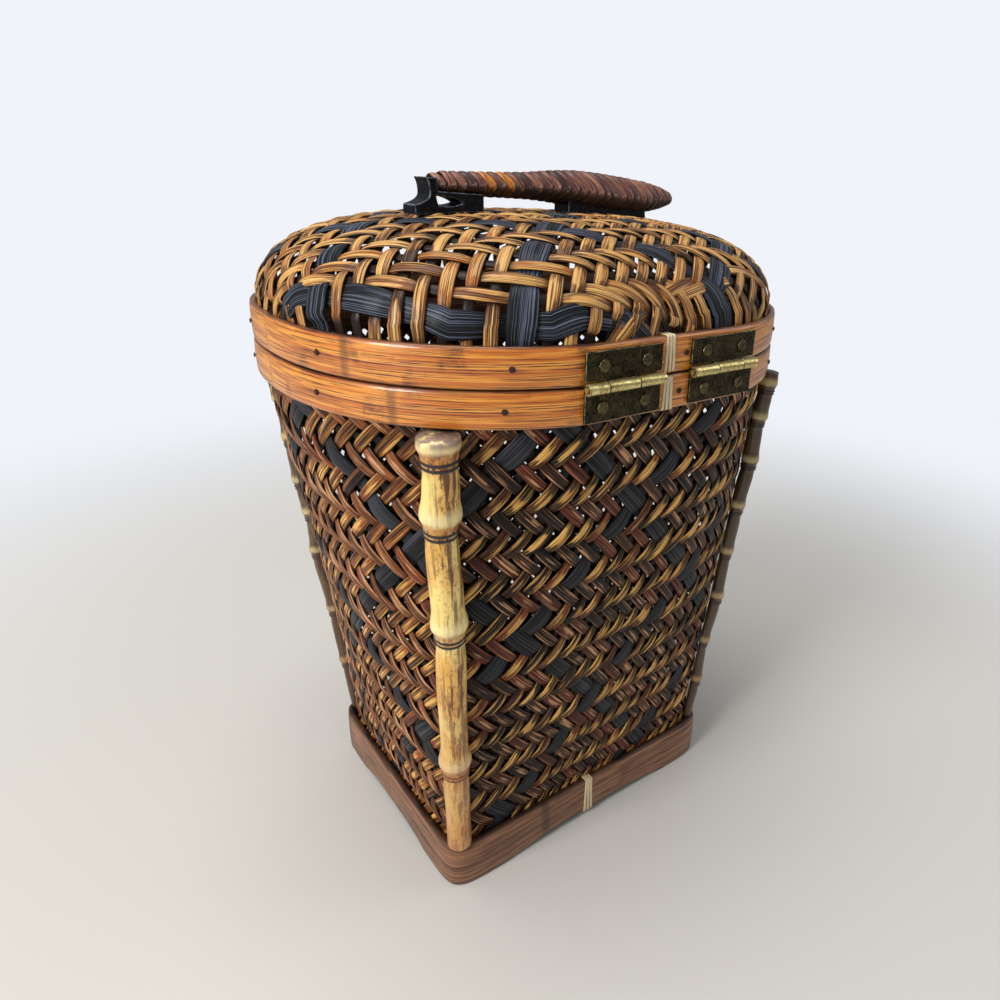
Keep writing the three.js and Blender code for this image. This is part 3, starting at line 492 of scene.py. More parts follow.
# %% Hinge leaves, dark with bright knuckles
# The knuckles stand out past a quarter of a leaf's depth, so how far out a point is says which
# of the two brasses it has.
leaf_brass, tree, shader = new_material("hinge leaf brass", Metallic=0.85)
knuckle = between(tree, place_on(tree, "Generated")[1], 0.26, 0.34)
flat = maths(tree, "SUBTRACT", 1.0, knuckle)
fine, dirt = grime(tree, 7.0, 1.1, 0.34, 0.6)
plate = mixed(tree, dirt, colour(78, 68, 42), colour(20, 16, 10))
bright = mixed(tree, dirt, colour(246, 232, 168), colour(168, 146, 82))
polish = maths(tree, "SUBTRACT", 1.0, times(tree, knuckle, 0.45))
wire(tree, shader, (times(tree, fine, flat), 0.06),
     Base_Color=mixed(tree, knuckle, plate, bright),
     Roughness=times(tree, scaled(tree, dirt, 0.36, 0.6), polish))
print("hinge leaves:", leaf_brass.name)

# %% Lacquer and worn edges
black_lacquer, tree, shader = new_material(
    "black lacquer", Coat_Weight=0.06, Coat_Roughness=0.35, Specular_IOR_Level=0.16)
thin = patches(tree, 2.2, 0.55, 0.72)
wire(tree, shader, (thin, 0.12),
     Base_Color=mixed(tree, times(tree, thin, 0.5), colour(5, 6, 12), colour(58, 64, 80)),
     Roughness=scaled(tree, thin, 0.4, 0.6))


def edge_wear_and_highlight_finish(name, worn, under, metal):
    """What shows along an eased edge: partly where the finish has gone, here more and there less,
    and partly a painted highlight.
    """
    material, tree, shader = new_material(name, Metallic=metal, Roughness=0.4)
    wire(tree, shader, Base_Color=mixed(tree, patches(tree, 3.0, 0.35, 0.6), worn, under))
    return material


lacquer_edge_wear_and_highlight = edge_wear_and_highlight_finish("worn lacquer edge", colour(112, 118, 134), colour(26, 28, 38), 0.0)
brass_edge_wear_and_highlight = edge_wear_and_highlight_finish("worn brass edge", colour(176, 164, 124), colour(52, 44, 28), 0.6)
print("materials so far:", len(bpy.data.materials))

# %% [markdown]
# ## The basket's own lines
# Everything woven or bent follows the same three surfaces: the wall, which goes from a square
# foot to a rounded mouth, the rim, and the dome. Copying points off the solids would freeze
# them; writing the same formulas as the solids keeps every strip exactly on its surface.

# %% Measures of the solids, in millimetres
foot_half_x, foot_half_y, foot_height, foot_thickness = 100.0, 80.0, 29.6, 4.0
rim_half_x, rim_half_y, rim_flat_depth, rim_flat_blend = 140.9, 127.0, 4.8, 0.8
foot_squareness, wall_foot_squareness, rim_squareness = 14.0, 10.0, 2.31
mouth_height, seam, body_hoop_height, lid_hoop_height = 300.0, 0.6, 16.6, 17.6
hoop_thickness, weave_thickness, clearance = 3.2, 2.4, 0.3
dome_rise, dome_drop, dome_plan_power, dome_rise_power = 46.6, 2.0, 3.2, 2.57
hoop_bottom = mouth_height - body_hoop_height
lid_bottom = mouth_height + seam
lid_top = lid_bottom + lid_hoop_height
wall_span = hoop_bottom - foot_height
weave_middle = hoop_thickness + clearance + weave_thickness / 2
rim_flat_y = rim_half_y - rim_flat_depth
dome_full = dome_rise - weave_thickness / 2
centre_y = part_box("foot_hoop")[1].y / MM - foot_half_y
print("middle of the outlines, mm:", round(centre_y, 3))

# %% Outlines in plan
def unit(rows):
    """Directions of length 1."""
    return rows / np.maximum(np.linalg.norm(rows, axis=-1, keepdims=True), 1e-9)


def lengths(line):
    """How long a line of points is up to each of them."""
    return np.concatenate([[0], np.cumsum(np.linalg.norm(np.diff(line, axis=0), axis=1))])


def square_round(turn, half_x, half_y, squareness):
    """An outline from an ellipse, at squareness 2, towards a square with rounded corners."""
    c, s = np.cos(turn), np.sin(turn)
    reach = (np.abs(c) ** squareness + np.abs(s) ** squareness) ** (-1 / squareness)
    return np.stack([half_x * c * reach, half_y * s * reach], -1)


def foot_outline(turn, inset, squareness=foot_squareness):
    return square_round(turn, foot_half_x - inset, foot_half_y - inset, squareness)


def rim_outline(turn, inset):
    """The mouth's outline, with its long sides eased to a straight stretch for the hinges."""
    line = square_round(turn, rim_half_x - inset, rim_half_y - inset, rim_squareness)
    flat = rim_flat_y - inset
    short = np.log1p(np.exp((flat - np.abs(line[..., 1])) / rim_flat_blend))
    line[..., 1] = np.sign(line[..., 1]) * (flat - rim_flat_blend * short)
    return line


def rim_beyond(x, y):
    """The weave's line at the rim, straight out from a place in plan."""
    return rim_outline(np.arctan2(y / rim_half_y, x / rim_half_x), weave_middle)


def raised(line, height):
    """Points of the whole model from a plan line round the basket's middle, and a height."""
    height = np.broadcast_to(height, line.shape[:-1])
    return np.stack([line[..., 0], line[..., 1] + centre_y, height], -1)


print("rim's half depth between the hinges, mm:", rim_outline(np.array(np.pi / 2), 0)[1].round(1))

# %% The wall and the dome
def wall_surface(turn, height):
    """The middle of the wall's weave."""
    share = np.clip((height - foot_height) / wall_span, 0, 1)[..., None]
    inset = foot_thickness + clearance + weave_thickness / 2
    low = foot_outline(turn, inset, wall_foot_squareness)
    return raised(low + (rim_outline(turn, weave_middle) - low) * share, height)


def dome_out(x, y):
    """How far out a place in plan lies: 0 at the dome's middle, 1 at the rim."""
    return np.hypot(x, y) / np.linalg.norm(rim_beyond(x, y), axis=-1)


def dome_surface(x, y):
    """The dome over a place in plan, and how far out that place lies."""
    out = dome_out(x, y)
    inside = np.clip(1 - np.minimum(out, 1) ** dome_plan_power, 0, 1)
    height = lid_top - dome_drop + dome_full * inside ** (1 / dome_rise_power)
    return raised(np.stack([x, y], -1), height), out


def dome_normal(points):
    """Straight out of the dome, or level where a strip goes down between the lid's hoops."""
    x, y, z = points[:, 0], points[:, 1] - centre_y, points[:, 2]
    step = 0.1

    def slope(ahead, behind):
        return (ahead ** dome_plan_power - behind ** dome_plan_power) / (2 * step)

    rise = np.clip((z - lid_top + dome_drop) / dome_full, 0, 1)
    return unit(np.stack([
        slope(dome_out(x + step, y), dome_out(x - step, y)),
        slope(dome_out(x, y + step), dome_out(x, y - step)),
        dome_rise_power * rise ** (dome_rise_power - 1) / dome_full], -1))


print("top of the dome's weave, mm:", round(float(dome_surface(np.array(1e-6), 0.0)[0][2]), 1))

# %% [markdown]
# ## A strip as a mesh
# A woven strip, a hoop, a tie and a turn of the grip's wrapping are one thing to a maker: a
# split with a crowned face, bent along some line. Curve objects could do that, but they can't
# carry marks for the finish or change width where a strip dives under its neighbour. So one
# helper carries a section along a line of points and notes, at each point, how far across and
# along the strip it is, how high it stands and which shade the strip has.

# %% Sections of a split, and of a round cane
CROWNED = np.array([
    (-1, 0.0), (-0.9, 0.55), (-0.5, 0.92), (0, 1.0), (0.5, 0.92), (0.9, 0.55), (1, 0.0),
    (0, -0.06)])
SPLIT = np.array([
    (-1, 0.0), (-1, 0.6), (-0.955, 0.84), (-0.75, 0.95), (0, 1.0),
    (0.75, 0.95), (0.955, 0.84), (1, 0.6), (1, 0.0), (0, 0.0)])
round_corners = 28
ROUND = np.array([(-math.cos(a), math.sin(a))
                  for a in np.linspace(0, 2 * math.pi, round_corners + 1)[:-1]])
dice = np.random.default_rng(11)
print("corners of the sections:", len(CROWNED), len(SPLIT), len(ROUND))

# %% Carry a section along a line
MARKS = ("tone", "lift", "knot", "above")


def strand(line, out, half, thick, section=CROWNED, closed=False, twist=None, **marks):
    """One strip along a line, as points, faces and marks. Its face looks out, and half and thick
    are its half width and its thickness, either one number or one for each point of the line."""
    count, around = len(line), len(section)
    if closed:
        ahead = unit(np.roll(line, -1, 0) - np.roll(line, 1, 0))
    else:
        ahead = unit(np.gradient(line, axis=0))
    out = np.broadcast_to(out, line.shape)
    out = unit(out - ahead * np.sum(out * ahead, -1, keepdims=True))
    side = np.cross(ahead, out)
    if twist is not None:
        c, s = np.cos(twist)[:, None], np.sin(twist)[:, None]
        side, out = side * c + out * s, out * c - side * s
    half = np.broadcast_to(half, count)[:, None, None]
    thick = np.broadcast_to(thick, count)[:, None, None]
    points = (line[:, None] + side[:, None] * section[None, :, :1] * half
              + out[:, None] * section[None, :, 1:] * thick)
    first = np.arange(count if closed else count - 1)[:, None] * around + np.arange(around)
    turn = (np.arange(around) + 1) % around - np.arange(around)
    ahead_by = np.where(first + around < count * around, around, around - count * around)
    faces = np.stack([first, first + turn, first + turn + ahead_by, first + ahead_by], -1)
    faces = faces.reshape(-1, 4).tolist()
    if not closed:
        faces += [list(range(around))[::-1], list(range((count - 1) * around, count * around))]
    every = {"across": np.tile(section[:, 0], count),
             "along": np.repeat(lengths(line) * MM, around)}
    for key in MARKS:
        every[key] = np.repeat(np.broadcast_to(marks.get(key, 0.0), count), around)
    return points.reshape(-1, 3), faces, every


sample = strand(np.array([(0.0, 0, 0), (5, 0, 0), (10, 0, 0)]), np.array([0.0, 0, 1]), 3.0, 0.8)
print("a short sample strip:", len(sample[0]), "points,", len(sample[1]), "faces")

# %% Join strands into a piece
def make_piece(name, parts, material, body, replaces=()):
    """Joins strands into one object that rides on a body of the frame."""
    points, faces, start = [], [], 0
    for part in parts:
        points.append(part[0])
        faces += [[corner + start for corner in face] for face in part[1]]
        start += len(part[0])
    mesh = bpy.data.meshes.new(name)
    mesh.from_pydata((np.concatenate(points) * MM).tolist(), [], faces)
    for key in ("across", "along", *MARKS):
        values = np.concatenate([part[2][key] for part in parts]).astype(np.float32)
        if values.any():
            mesh.attributes.new(key, "FLOAT", "POINT").data.foreach_set("value", values)
    mesh.shade_smooth()
    mesh.materials.append(material)
    made = bpy.data.objects.new(name, mesh)
    bpy.context.scene.collection.objects.link(made)
    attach(made, body)
    if replaces:
        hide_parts(*replaces)
    print(f"{name}: {len(parts)} strands, {len(mesh.polygons)} faces")
    return made


# %% [markdown]
# ## The wall's weave
# The wall is woven on the slant: one set of strips climbs to the right, the other to the left,
# and each passes over two and under two, which draws the zigzag rows. About every tenth strip
# is a wide black one, and where the black bands cross they make the dark squares. A
# picture of a weave would look flat from the side; real strips also leave the small square
# holes that daylight comes through. Each strip is laid along the wall, and its height is worked
# out from what it crosses: up over two, down under two, with a bow where it floats.

# %% Places of the strips round the wall
round_steps, girth_height = 3601, 160.0
climb = 1.14  # how far a strip climbs for each millimetre that it goes round
black_share = 1.6  # the room of a black band, in plain strips
perimeter_turns = np.linspace(0, 2 * np.pi, round_steps)
girth_steps = lengths(wall_surface(perimeter_turns, np.full(round_steps, girth_height)))
girth = girth_steps[-1]


def places_round(first_black, runs):
    """Where each strip starts round the wall: a black band, a run of plain strips, and so on."""
    unit_mm = girth / (sum(runs) + black_share * len(runs))
    places, is_black, at = [], [], first_black
    for run in runs:
        places.append(at)
        is_black.append(True)
        at += unit_mm * (1 + black_share) / 2
        for i in range(run):
            places.append(at)
            is_black.append(False)
            at += unit_mm if i < run - 1 else unit_mm * (1 + black_share) / 2
    return np.array(places), np.array(is_black), unit_mm


rising_at, rising_black, spacing = places_round(-124.4, [8, 9, 9, 8, 9, 9, 9])
falling_at, falling_black, _ = places_round(262.5, [10, 10, 11, 10, 11, 10])
print("girth, mm:", round(girth, 1), "strips:", len(rising_at), "+", len(falling_at),
      "spacing, mm:", round(spacing, 2))

# %% How a strip rides over and under what it crosses
def level_at(distance, crossings, over, bow):
    """The strip's height from -1 under to 1 over, with a bow in the middle of each float."""
    k = np.clip(np.searchsorted(crossings, distance) - 1, 0, len(crossings) - 2)
    span = np.maximum(crossings[k + 1] - crossings[k], 1e-9)
    share = np.clip((distance - crossings[k]) / span, 0, 1)
    low, high = over[k], over[k + 1]
    level = low + (high - low) * share * share * (3 - 2 * share)
    return level + bow * np.where((low == high) & (low > 0), np.sin(np.pi * share), 0)


def over_pattern(own, others, rising):
    """Twill: over two and under two, stepping one along from each strip to the next."""
    step = (others - own) if rising else (own - others)
    over = np.isin(step % 4, (0, 1))
    return np.where(over if rising else ~over, 1.0, -1.0)


print("a rising strip against the next eight:", over_pattern(0, np.arange(8), True))

# %% Weave the wall
strip_width, strip_thickness, black_width = 5.9, 0.85, 11.0
wall_bottom, wall_top, wall_step = 9.0, 298.4, 1.55
hoop_ease, foot_tuck = 12.0, 8.0
pinched_lift, free_lift, proud_lift = 0.58, 0.2, 0.35


def wall_strips(rising):
    """Every strip of one slant, plain ones and black ones apart."""
    own_at, own_black = (rising_at, rising_black) if rising else (falling_at, falling_black)
    other_at = falling_at if rising else rising_at
    sign = 1 if rising else -1
    height = np.arange(wall_bottom, wall_top, wall_step)
    free = (np.clip((hoop_bottom - height) / hoop_ease, 0, 1)
            * np.clip((height - foot_height + foot_tuck) / hoop_ease, 0, 1))
    rounds = np.arange(-2, 3)[:, None]
    plain, black = [], []
    for i, start in enumerate(own_at):
        crossing = (climb / 2 * sign * (other_at[None] + rounds * girth - start)).ravel()
        index = (np.arange(len(other_at))[None] + rounds * len(other_at)).ravel()
        order = np.argsort(crossing)
        over = over_pattern(i, index[order], rising)
        sway = 0.35 * np.sin(height / 31.0 + dice.uniform(0, 6.3))
        place = start + sign * height / climb + sway
        turn = np.interp(place % girth, girth_steps, perimeter_turns)
        # Climbing strips stand proud on the long sides, and falling ones on the short sides.
        long_side = 0.5 - 0.5 * np.cos(2 * turn)
        proud = long_side if rising else 1 - long_side
        level = level_at(height, crossing[order], over, 0.15 + 0.4 * proud)
        lift_mm = pinched_lift + free * (free_lift + proud_lift * proud)
        line = wall_surface(turn, height)
        near = wall_surface(turn + 0.002, height) - wall_surface(turn - 0.002, height)
        up = wall_surface(turn, height + 0.5) - wall_surface(turn, height - 0.5)
        out = unit(np.cross(near, up))
        narrow = np.clip(0.93 + 0.07 * level, 0.8, 1.03)
        width = black_width if own_black[i] else strip_width
        half = width / 2 * narrow * dice.uniform(0.93, 1.05)
        curl = dice.uniform(0.02, 0.16) * np.sin(height / 5.1 + dice.uniform(0, 6.3))
        line = line + out * (lift_mm * level - strip_thickness / 2)[:, None]
        made = strand(line, out, half, strip_thickness, twist=None if own_black[i] else curl,
                      tone=dice.uniform(), lift=level)
        (black if own_black[i] else plain).append(made)
    return plain, black


rising_plain, rising_dark = wall_strips(True)
falling_plain, falling_dark = wall_strips(False)
make_piece("wall_strips_rising", rising_plain, wall_strip, "body", ["woven_body"])
make_piece("wall_strips_falling", falling_plain, dark_strip, "body")
make_piece("wall_bands_black", rising_dark + falling_dark, wall_black, "body")

# %% [markdown]
# ## The lid's weave, and the floor's
# On the dome the same two sets of strips run straight across in plan, corner to corner, and bend
# over the shoulder down between the lid's hoops. They lie wider apart than on the wall, so the
# dark inside shows between them. The floor is the same weave, flat. Drawing some hundred strips
# by hand would follow the real ones more closely and take days, so all are laid by one rule: a
# line in plan that bends a little with the rim, lifted to the surface and cut at its edge.

# %% Bend a strip with the rim, and carry it down
bend_start, bend_full, bend_reach, bend_power = 3.0, 62.0, 136.0, 3.5
drop_step, steepest_run = 1.5, 1.1


def bent(place, t, strength):
    """Where a strip lies after it has bent with the rim: more, the nearer it is to a corner."""
    away = np.abs(t - bend_start)
    near = np.minimum(away, bend_full)
    strength = strength * np.where(t < bend_start, 1.7, 1.0)
    corner = np.sign(place) * np.abs(place / bend_reach) ** bend_power
    return place - strength * corner * near * (2 * away - near)


def carried_down(points, bottom):
    """A strip's points, carried on the way it was going, down between the lid's hoops."""
    ahead = points[-1] - points[-5]
    level = math.hypot(ahead[0], ahead[1])
    run = min(level / max(-ahead[2], 0.1), steepest_run)
    drops = np.arange(drop_step, points[-1, 2] - bottom, drop_step)
    way = ahead[:2] / max(level, 1e-6)
    plan = points[-1, :2] - (0, centre_y) + way * (drops * run)[:, None]
    plan = rim_beyond(plan[:, 0], plan[:, 1])
    return np.concatenate([points, raised(plan, points[-1, 2] - drops)])


print("bend of a strip 100 mm out, mm:", round(float(100 - bent(100.0, 60.0, 0.0045)), 1))

# %% Lay strips of one slant over a plan
plan_step, plan_reach, strip_step = 0.5, 200, 1.7
shortest, plan_edge, black_width_share = 16, 0.995, 2.1


def across_plan(surface, own, other_at, slant, lift_mm, width, bow,
                normal=None, leg_bottom=None, strengths=(0, 0)):
    """Strips of one slant over a surface, plain and black apart. slant 1 runs to +X +Y."""
    along_way = np.array([1, slant]) / math.sqrt(2)
    across_way = np.array([1, -slant]) / math.sqrt(2)
    index = np.arange(len(other_at))
    plain, black = [], []
    for i, (place, is_black) in enumerate(zip(*own)):
        t = np.arange(-plan_reach, plan_reach, plan_step)
        offset = bent(place, t, strengths[0])
        points, out_share = surface(*(across_way * offset[:, None] + t[:, None] * along_way).T)
        inside = out_share < plan_edge
        if inside.sum() < shortest:
            continue
        t, points = t[inside], points[inside]
        if leg_bottom is not None:
            longer = carried_down(points, leg_bottom)
            both_ways = carried_down(longer[::-1], leg_bottom)[::-1]
            before, after = len(both_ways) - len(longer), len(longer) - len(points)
            t = np.concatenate([
                t[0] - np.arange(before, 0, -1), t, t[-1] + np.arange(1, after + 1)])
            points = both_ways
        length = lengths(points)
        even = np.arange(0, length[-1], strip_step)
        line = np.stack([np.interp(even, length, points[:, k]) for k in range(3)], -1)
        crossings = np.maximum.accumulate(bent(other_at, place, strengths[1]) + index * 1e-6)
        level = level_at(np.interp(even, length, t), crossings,
                         over_pattern(i, index, slant == 1), bow)
        out = normal(line) if normal else np.array([0.0, 0.0, 1.0])
        narrow = np.clip(0.94 + 0.06 * level, 0.8, 1.02)
        full = width * black_width_share if is_black else width
        half = full / 2 * narrow * dice.uniform(0.94, 1.05)
        line = line + out * (lift_mm * level - strip_thickness / 2)[:, None]
        made = strand(line, out, half, strip_thickness, tone=dice.uniform(), lift=level)
        (black if is_black else plain).append(made)
    return plain, black


print("points across the plan:", round(2 * plan_reach / plan_step))

# %% Space the strips evenly between the black bands
def places_across(blacks, low, high, pitch, share):
    """Strip places from low to high: evenly spaced between the black bands that are given."""
    places, is_black = [], []
    borders = [low, *blacks, high]
    near = pitch * (1 + share) / 2
    for k, (start, end) in enumerate(zip(borders, borders[1:])):
        ends_at_band = k < len(borders) - 2
        first = start + (near if k else 0)
        last = end - (near if ends_at_band else 0)
        count = max(1, round((last - first) / pitch))
        places += list(np.linspace(first, last, count + 1))
        is_black += [False] * (count + 1)
        if ends_at_band:
            places.append(end)
            is_black.append(True)
    return np.array(places), np.array(is_black)


def places_on_dome(blacks, slant, pitch, share):
    """The same along the dome's surface, from corner to corner, given and returned in plan."""
    plan = np.arange(-150, 150.1, 0.5)
    points, _ = dome_surface(plan / math.sqrt(2), plan / math.sqrt(2) * slant)
    steps = np.minimum(np.linalg.norm(np.diff(points, axis=0), axis=1), 1.0)
    length = np.concatenate([[0], np.cumsum(steps)])
    length -= np.interp(0, plan, length)
    blacks = np.interp(blacks, plan, length)
    places, is_black = places_across(blacks, length[0], length[-1], pitch, share)
    return np.interp(places, length, plan), is_black


lid_rising = places_on_dome([-106.0, -24.0, 66.0], -1, 9.1, 1.5)
lid_falling = places_on_dome([-134.0, -56.0, 8.0, 66.0, 134.5], 1, 9.1, 1.5)
floor_places = places_across([-81.0, 0.0, 81.0], -130, 130, 7.6, 1.3)
print("places on the lid:", len(lid_rising[0]), "+", len(lid_falling[0]),
      "and on the floor:", len(floor_places[0]))

# %% Weave the lid and the floor
lid_weave = dict(lift_mm=0.9, width=5.8, bow=0.35, normal=dome_normal,
                 leg_bottom=lid_bottom + 1.4)
floor_weave = dict(lift_mm=0.5, width=6.0, bow=0.1)
floor_level, floor_gap = 8.4, 1.2
lid_up, lid_up_black = across_plan(
    dome_surface, lid_rising, lid_falling[0], 1, strengths=(0.002, 0.0045), **lid_weave)
lid_down, lid_down_black = across_plan(
    dome_surface, lid_falling, lid_rising[0], -1, strengths=(0.0045, 0.002), **lid_weave)
make_piece("lid_strips_rising", lid_up, lid_strip, "lid", ["woven_lid"])
make_piece("lid_strips_falling", lid_down, lid_strip, "lid")
make_piece("lid_bands_black", lid_up_black + lid_down_black, lid_black, "lid")


def floor_surface(x, y):
    turn = np.arctan2(y / foot_half_y, x / foot_half_x)
    edge = foot_outline(turn, foot_thickness + floor_gap, wall_foot_squareness)
    out = np.hypot(x, y) / np.linalg.norm(edge, axis=-1)
    return raised(np.stack([x, y], -1), floor_level), out


floor_up, floor_up_black = across_plan(
    floor_surface, floor_places, floor_places[0], 1, **floor_weave)
floor_down, floor_down_black = across_plan(
    floor_surface, floor_places, floor_places[0], -1, **floor_weave)
make_piece("floor_strips", floor_up + floor_down, wall_strip, "body")
make_piece("floor_bands_black", floor_up_black + floor_down_black, lid_black, "body")

# %% [markdown]
# ## Hoops
# Each hoop is one wide split of bamboo, bent round and tied where its ends meet. The solids'
# hoops have the right shape, but sharp edges, and nothing on them says which way the fibres run.
# So each is carried round its outline again, as a closed strand. Bamboo thickens at its nodes,
# so a few places get a low ridge, and they are marked for the dark line in the finish.

# %% Bend a hoop round an outline
hoop_points, corner_crowding = 480, 0.1375
node_half_mm, node_swelling = 2.4, 0.07


def hoop(outline, inset, bottom, top, thick, node_turns=(), arch=None):
    """A closed split round an outline. Its points stand closer where the outline turns."""
    turns = np.linspace(0, 2 * np.pi, hoop_points + 1)[:-1]
    turns = turns + corner_crowding * np.sin(4 * turns)
    line = outline(turns, inset)
    ahead = unit(np.roll(line, -1, 0) - np.roll(line, 1, 0))
    out = np.stack([ahead[:, 1], -ahead[:, 0], np.zeros(len(turns))], -1)
    knot = np.zeros(len(turns))
    for degrees in node_turns:
        away = np.abs((turns - math.radians(degrees) + np.pi) % (2 * np.pi) - np.pi)
        away_mm = away * np.linalg.norm(line, axis=1)
        knot = np.maximum(knot, np.exp(-(away_mm / node_half_mm) ** 2))
    low = bottom + (arch(line) if arch else 0)
    return strand(raised(line, (low + top) / 2) - out * thick, out, (top - low) / 2,
                  thick * (1 + node_swelling * knot), section=SPLIT, closed=True, knot=knot,
                  tone=0.5)


inner_inset = hoop_thickness + clearance + weave_thickness + clearance
inner_thickness, lid_inner_short = 2.4, 1.2
hoops = {
    "lid_hoop": ("lid_hoop_outer", "lid", hoop_finish, (
        0, lid_bottom, lid_top, hoop_thickness, (27.5, 150, 262))),
    "body_hoop": ("body_hoop_outer", "body", hoop_finish, (
        0, hoop_bottom, mouth_height, hoop_thickness, (36.6, 165, 290))),
    "lid_inner_hoop": ("lid_hoop_inner", "lid", foot_finish, (
        inner_inset, lid_bottom, lid_top - lid_inner_short, inner_thickness, (80, 200, 310))),
    "body_inner_hoop": ("body_hoop_inner", "body", foot_finish, (
        inner_inset, hoop_bottom, mouth_height, inner_thickness, (10, 130, 250))),
}
for name, (solid, body, finish, sizes) in hoops.items():
    make_piece(name, [hoop(rim_outline, *sizes)], finish, body, [solid])

# %% The foot hoop, arched under each side
arch_rise, pad_length, arch_power, side_depth = 4.5, 36.0, 3.2, 4.0


def foot_arch(line):
    """How far the hoop's lower edge is lifted: nothing at the corners, an arch between them."""
    half_x, half_y = foot_half_x - pad_length, foot_half_y - pad_length
    on_side = np.abs(line[:, 1]) > foot_half_y - side_depth
    share = np.where(on_side, np.abs(line[:, 0]) / half_x, np.abs(line[:, 1]) / half_y)
    return arch_rise * np.clip(1 - np.clip(share, 0, 1) ** arch_power, 0, 1)


foot_hoop = hoop(foot_outline, 0, 0.0, foot_height, foot_thickness, (70, 190, 320), foot_arch)
make_piece("foot_band", [foot_hoop], foot_finish, "body", ["foot_hoop"])

# %% [markdown]
# ## Corner posts
# The posts are bamboo root cane, picked for its close nodes: a double dark ring at each, a
# swelling above it and a waist below. They could be turned on a lathe profile, but real ones
# wander a little from node to node. So each is a round strand whose line sways and whose radius
# is a sum of small bumps placed at the nodes.

# %% Where a post stands
node_swell_mm, tuck_foot, tuck_top = 0.9, 4.4, 0.6


def wall_skin(turn, share):
    """The wall's outer face in plan: share 0 at the foot, 1 at the body's hoop."""
    low = foot_outline(turn, foot_thickness + clearance, wall_foot_squareness)
    return low * (1 - share) + rim_outline(turn, hoop_thickness + clearance) * share


def post_point(turn, height, radius, tuck):
    """The post's middle beside the wall, tucked a little into the corner."""
    def skin(angle):
        return raised(wall_skin(np.array(angle), (height - foot_height) / wall_span), height)

    step = skin(turn + 0.01) - skin(turn - 0.01)
    aim = unit(np.array([step[1], -step[0], 0.0]))
    return skin(turn) + aim * (radius + node_swell_mm + clearance - tuck)


def pare_back(points, gap=0.4):
    """Moves what would stand in the wall out to its face, as the back of a real post is pared."""
    x, y = points[:, 0], points[:, 1] - centre_y
    share = np.clip((points[:, 2] - foot_height) / wall_span, 0, 1)[:, None]
    size = (1 - share) * (foot_half_x, foot_half_y) + share * (rim_half_x, rim_half_y)
    skin = wall_skin(np.arctan2(y / size[:, 1], x / size[:, 0]), share)
    grow = np.maximum(1, (np.linalg.norm(skin, axis=1) + gap) / np.hypot(x, y))
    return np.stack([x * grow, y * grow + centre_y, points[:, 2]], -1)


print("a post's middle at the foot, mm:",
      post_point(math.radians(45), foot_height, 6.6, tuck_foot).round(1))

# %% Grow the corner posts
# The turn at which its top stands, its age from 0 to 1, its radius at foot and top, its nodes.
posts = {
    "corner_post_rear_right": (45, 0.0, (6.6, 8.0), [0.235, 0.585, 0.82, 0.952]),
    "corner_post_rear_left": (135, 1.0, (3.6, 5.0), [
        0.11, 0.24, 0.38, 0.51, 0.64, 0.76, 0.87, 0.95]),
    "corner_post_front_left": (225, 0.85, (3.8, 5.2), [0.15, 0.31, 0.46, 0.6, 0.73, 0.84, 0.94]),
    "corner_post_front_right": (322, 0.95, (3.7, 5.0), [
        0.14, 0.3, 0.475, 0.58, 0.665, 0.775, 0.87, 0.955]),
}
full_radius = 8.0
bulge_past, bulge_mm, waist_mm, ring_mm = 8.0, 1.5, 0.5, 0.6
mark_length, sway_mm, sway_ease = 20.0, 0.9, 20.0


def hump(away, half):
    """A bump 1 high, and about twice half wide."""
    return np.exp(-(away / half) ** 2)


def grow_post(top_turn, age, radii, nodes):
    """A post from the foot hoop's corner up to the body's hoop, pared where it meets the wall."""
    corner = 90 * (top_turn // 90) + 45
    foot_radius, top_radius = radii
    slim = top_radius / full_radius
    foot = post_point(math.radians(corner), foot_height, foot_radius, tuck_foot * slim)
    top = post_point(math.radians(top_turn), hoop_bottom, top_radius, tuck_top)
    aim = unit(top - foot)
    lean = math.sqrt(1 - aim[2] ** 2)
    start = (clearance + foot_radius * lean) / aim[2]
    end = (wall_span - clearance - top_radius * lean) / aim[2]
    reach = np.arange(start, end, 0.5)
    radius = np.interp(reach, [0, end], [foot_radius, top_radius])
    ring, above, sway = np.zeros_like(reach), np.ones_like(reach), np.zeros((len(reach), 3))
    for k, share in enumerate(nodes):
        # A swelling above the node, a waist below it, and two fine rings on it.
        away = (reach - wall_span * share / aim[2]) / slim
        past = away - bulge_past
        radius += bulge_mm * slim * hump(past, np.where(past < 0, 3.2, 6.0))
        radius -= waist_mm * slim * hump(away + 4, 5)
        for offset in (-1.4, 1.2):
            radius += ring_mm * hump(away - offset, 0.6)
            ring = np.maximum(ring, hump(away - offset, 0.9))
        above = np.where((away > -1) & (away < mark_length - 1), (away + 1) / mark_length, above)
        angle = 2.4 * k + top_turn
        sway += (hump(away, 26)[:, None]
                 * np.array([math.cos(angle), math.sin(angle), 0]) * sway_mm)
    sway *= np.clip(np.minimum(reach - start, end - reach) / sway_ease, 0, 1)[:, None]
    radius *= 1 + 0.02 * np.sin(reach / 9.0 + top_turn)
    line = foot + aim * reach[:, None] + sway
    out = np.array([math.cos(math.radians(corner)), math.sin(math.radians(corner)), 0])
    points, faces, marks = strand(line, out, radius, radius, section=ROUND, knot=ring,
                                  above=above, tone=age)
    return pare_back(points), faces, marks


for name, post in posts.items():
    make_piece(name.replace("corner_", ""), [grow_post(*post)], post_finish, "body",
               [name])

# %% [markdown]
# ## Cane ties
# Where a hoop's ends meet it is bound with three turns of split cane, which go round the outer
# and the inner hoop together. One block with lines drawn on it would do from far off, but light
# has to fall between the turns. So each is a closed flat strand round a rounded rectangle, a
# touch apart from its neighbour and not quite parallel, as a hand leaves it.

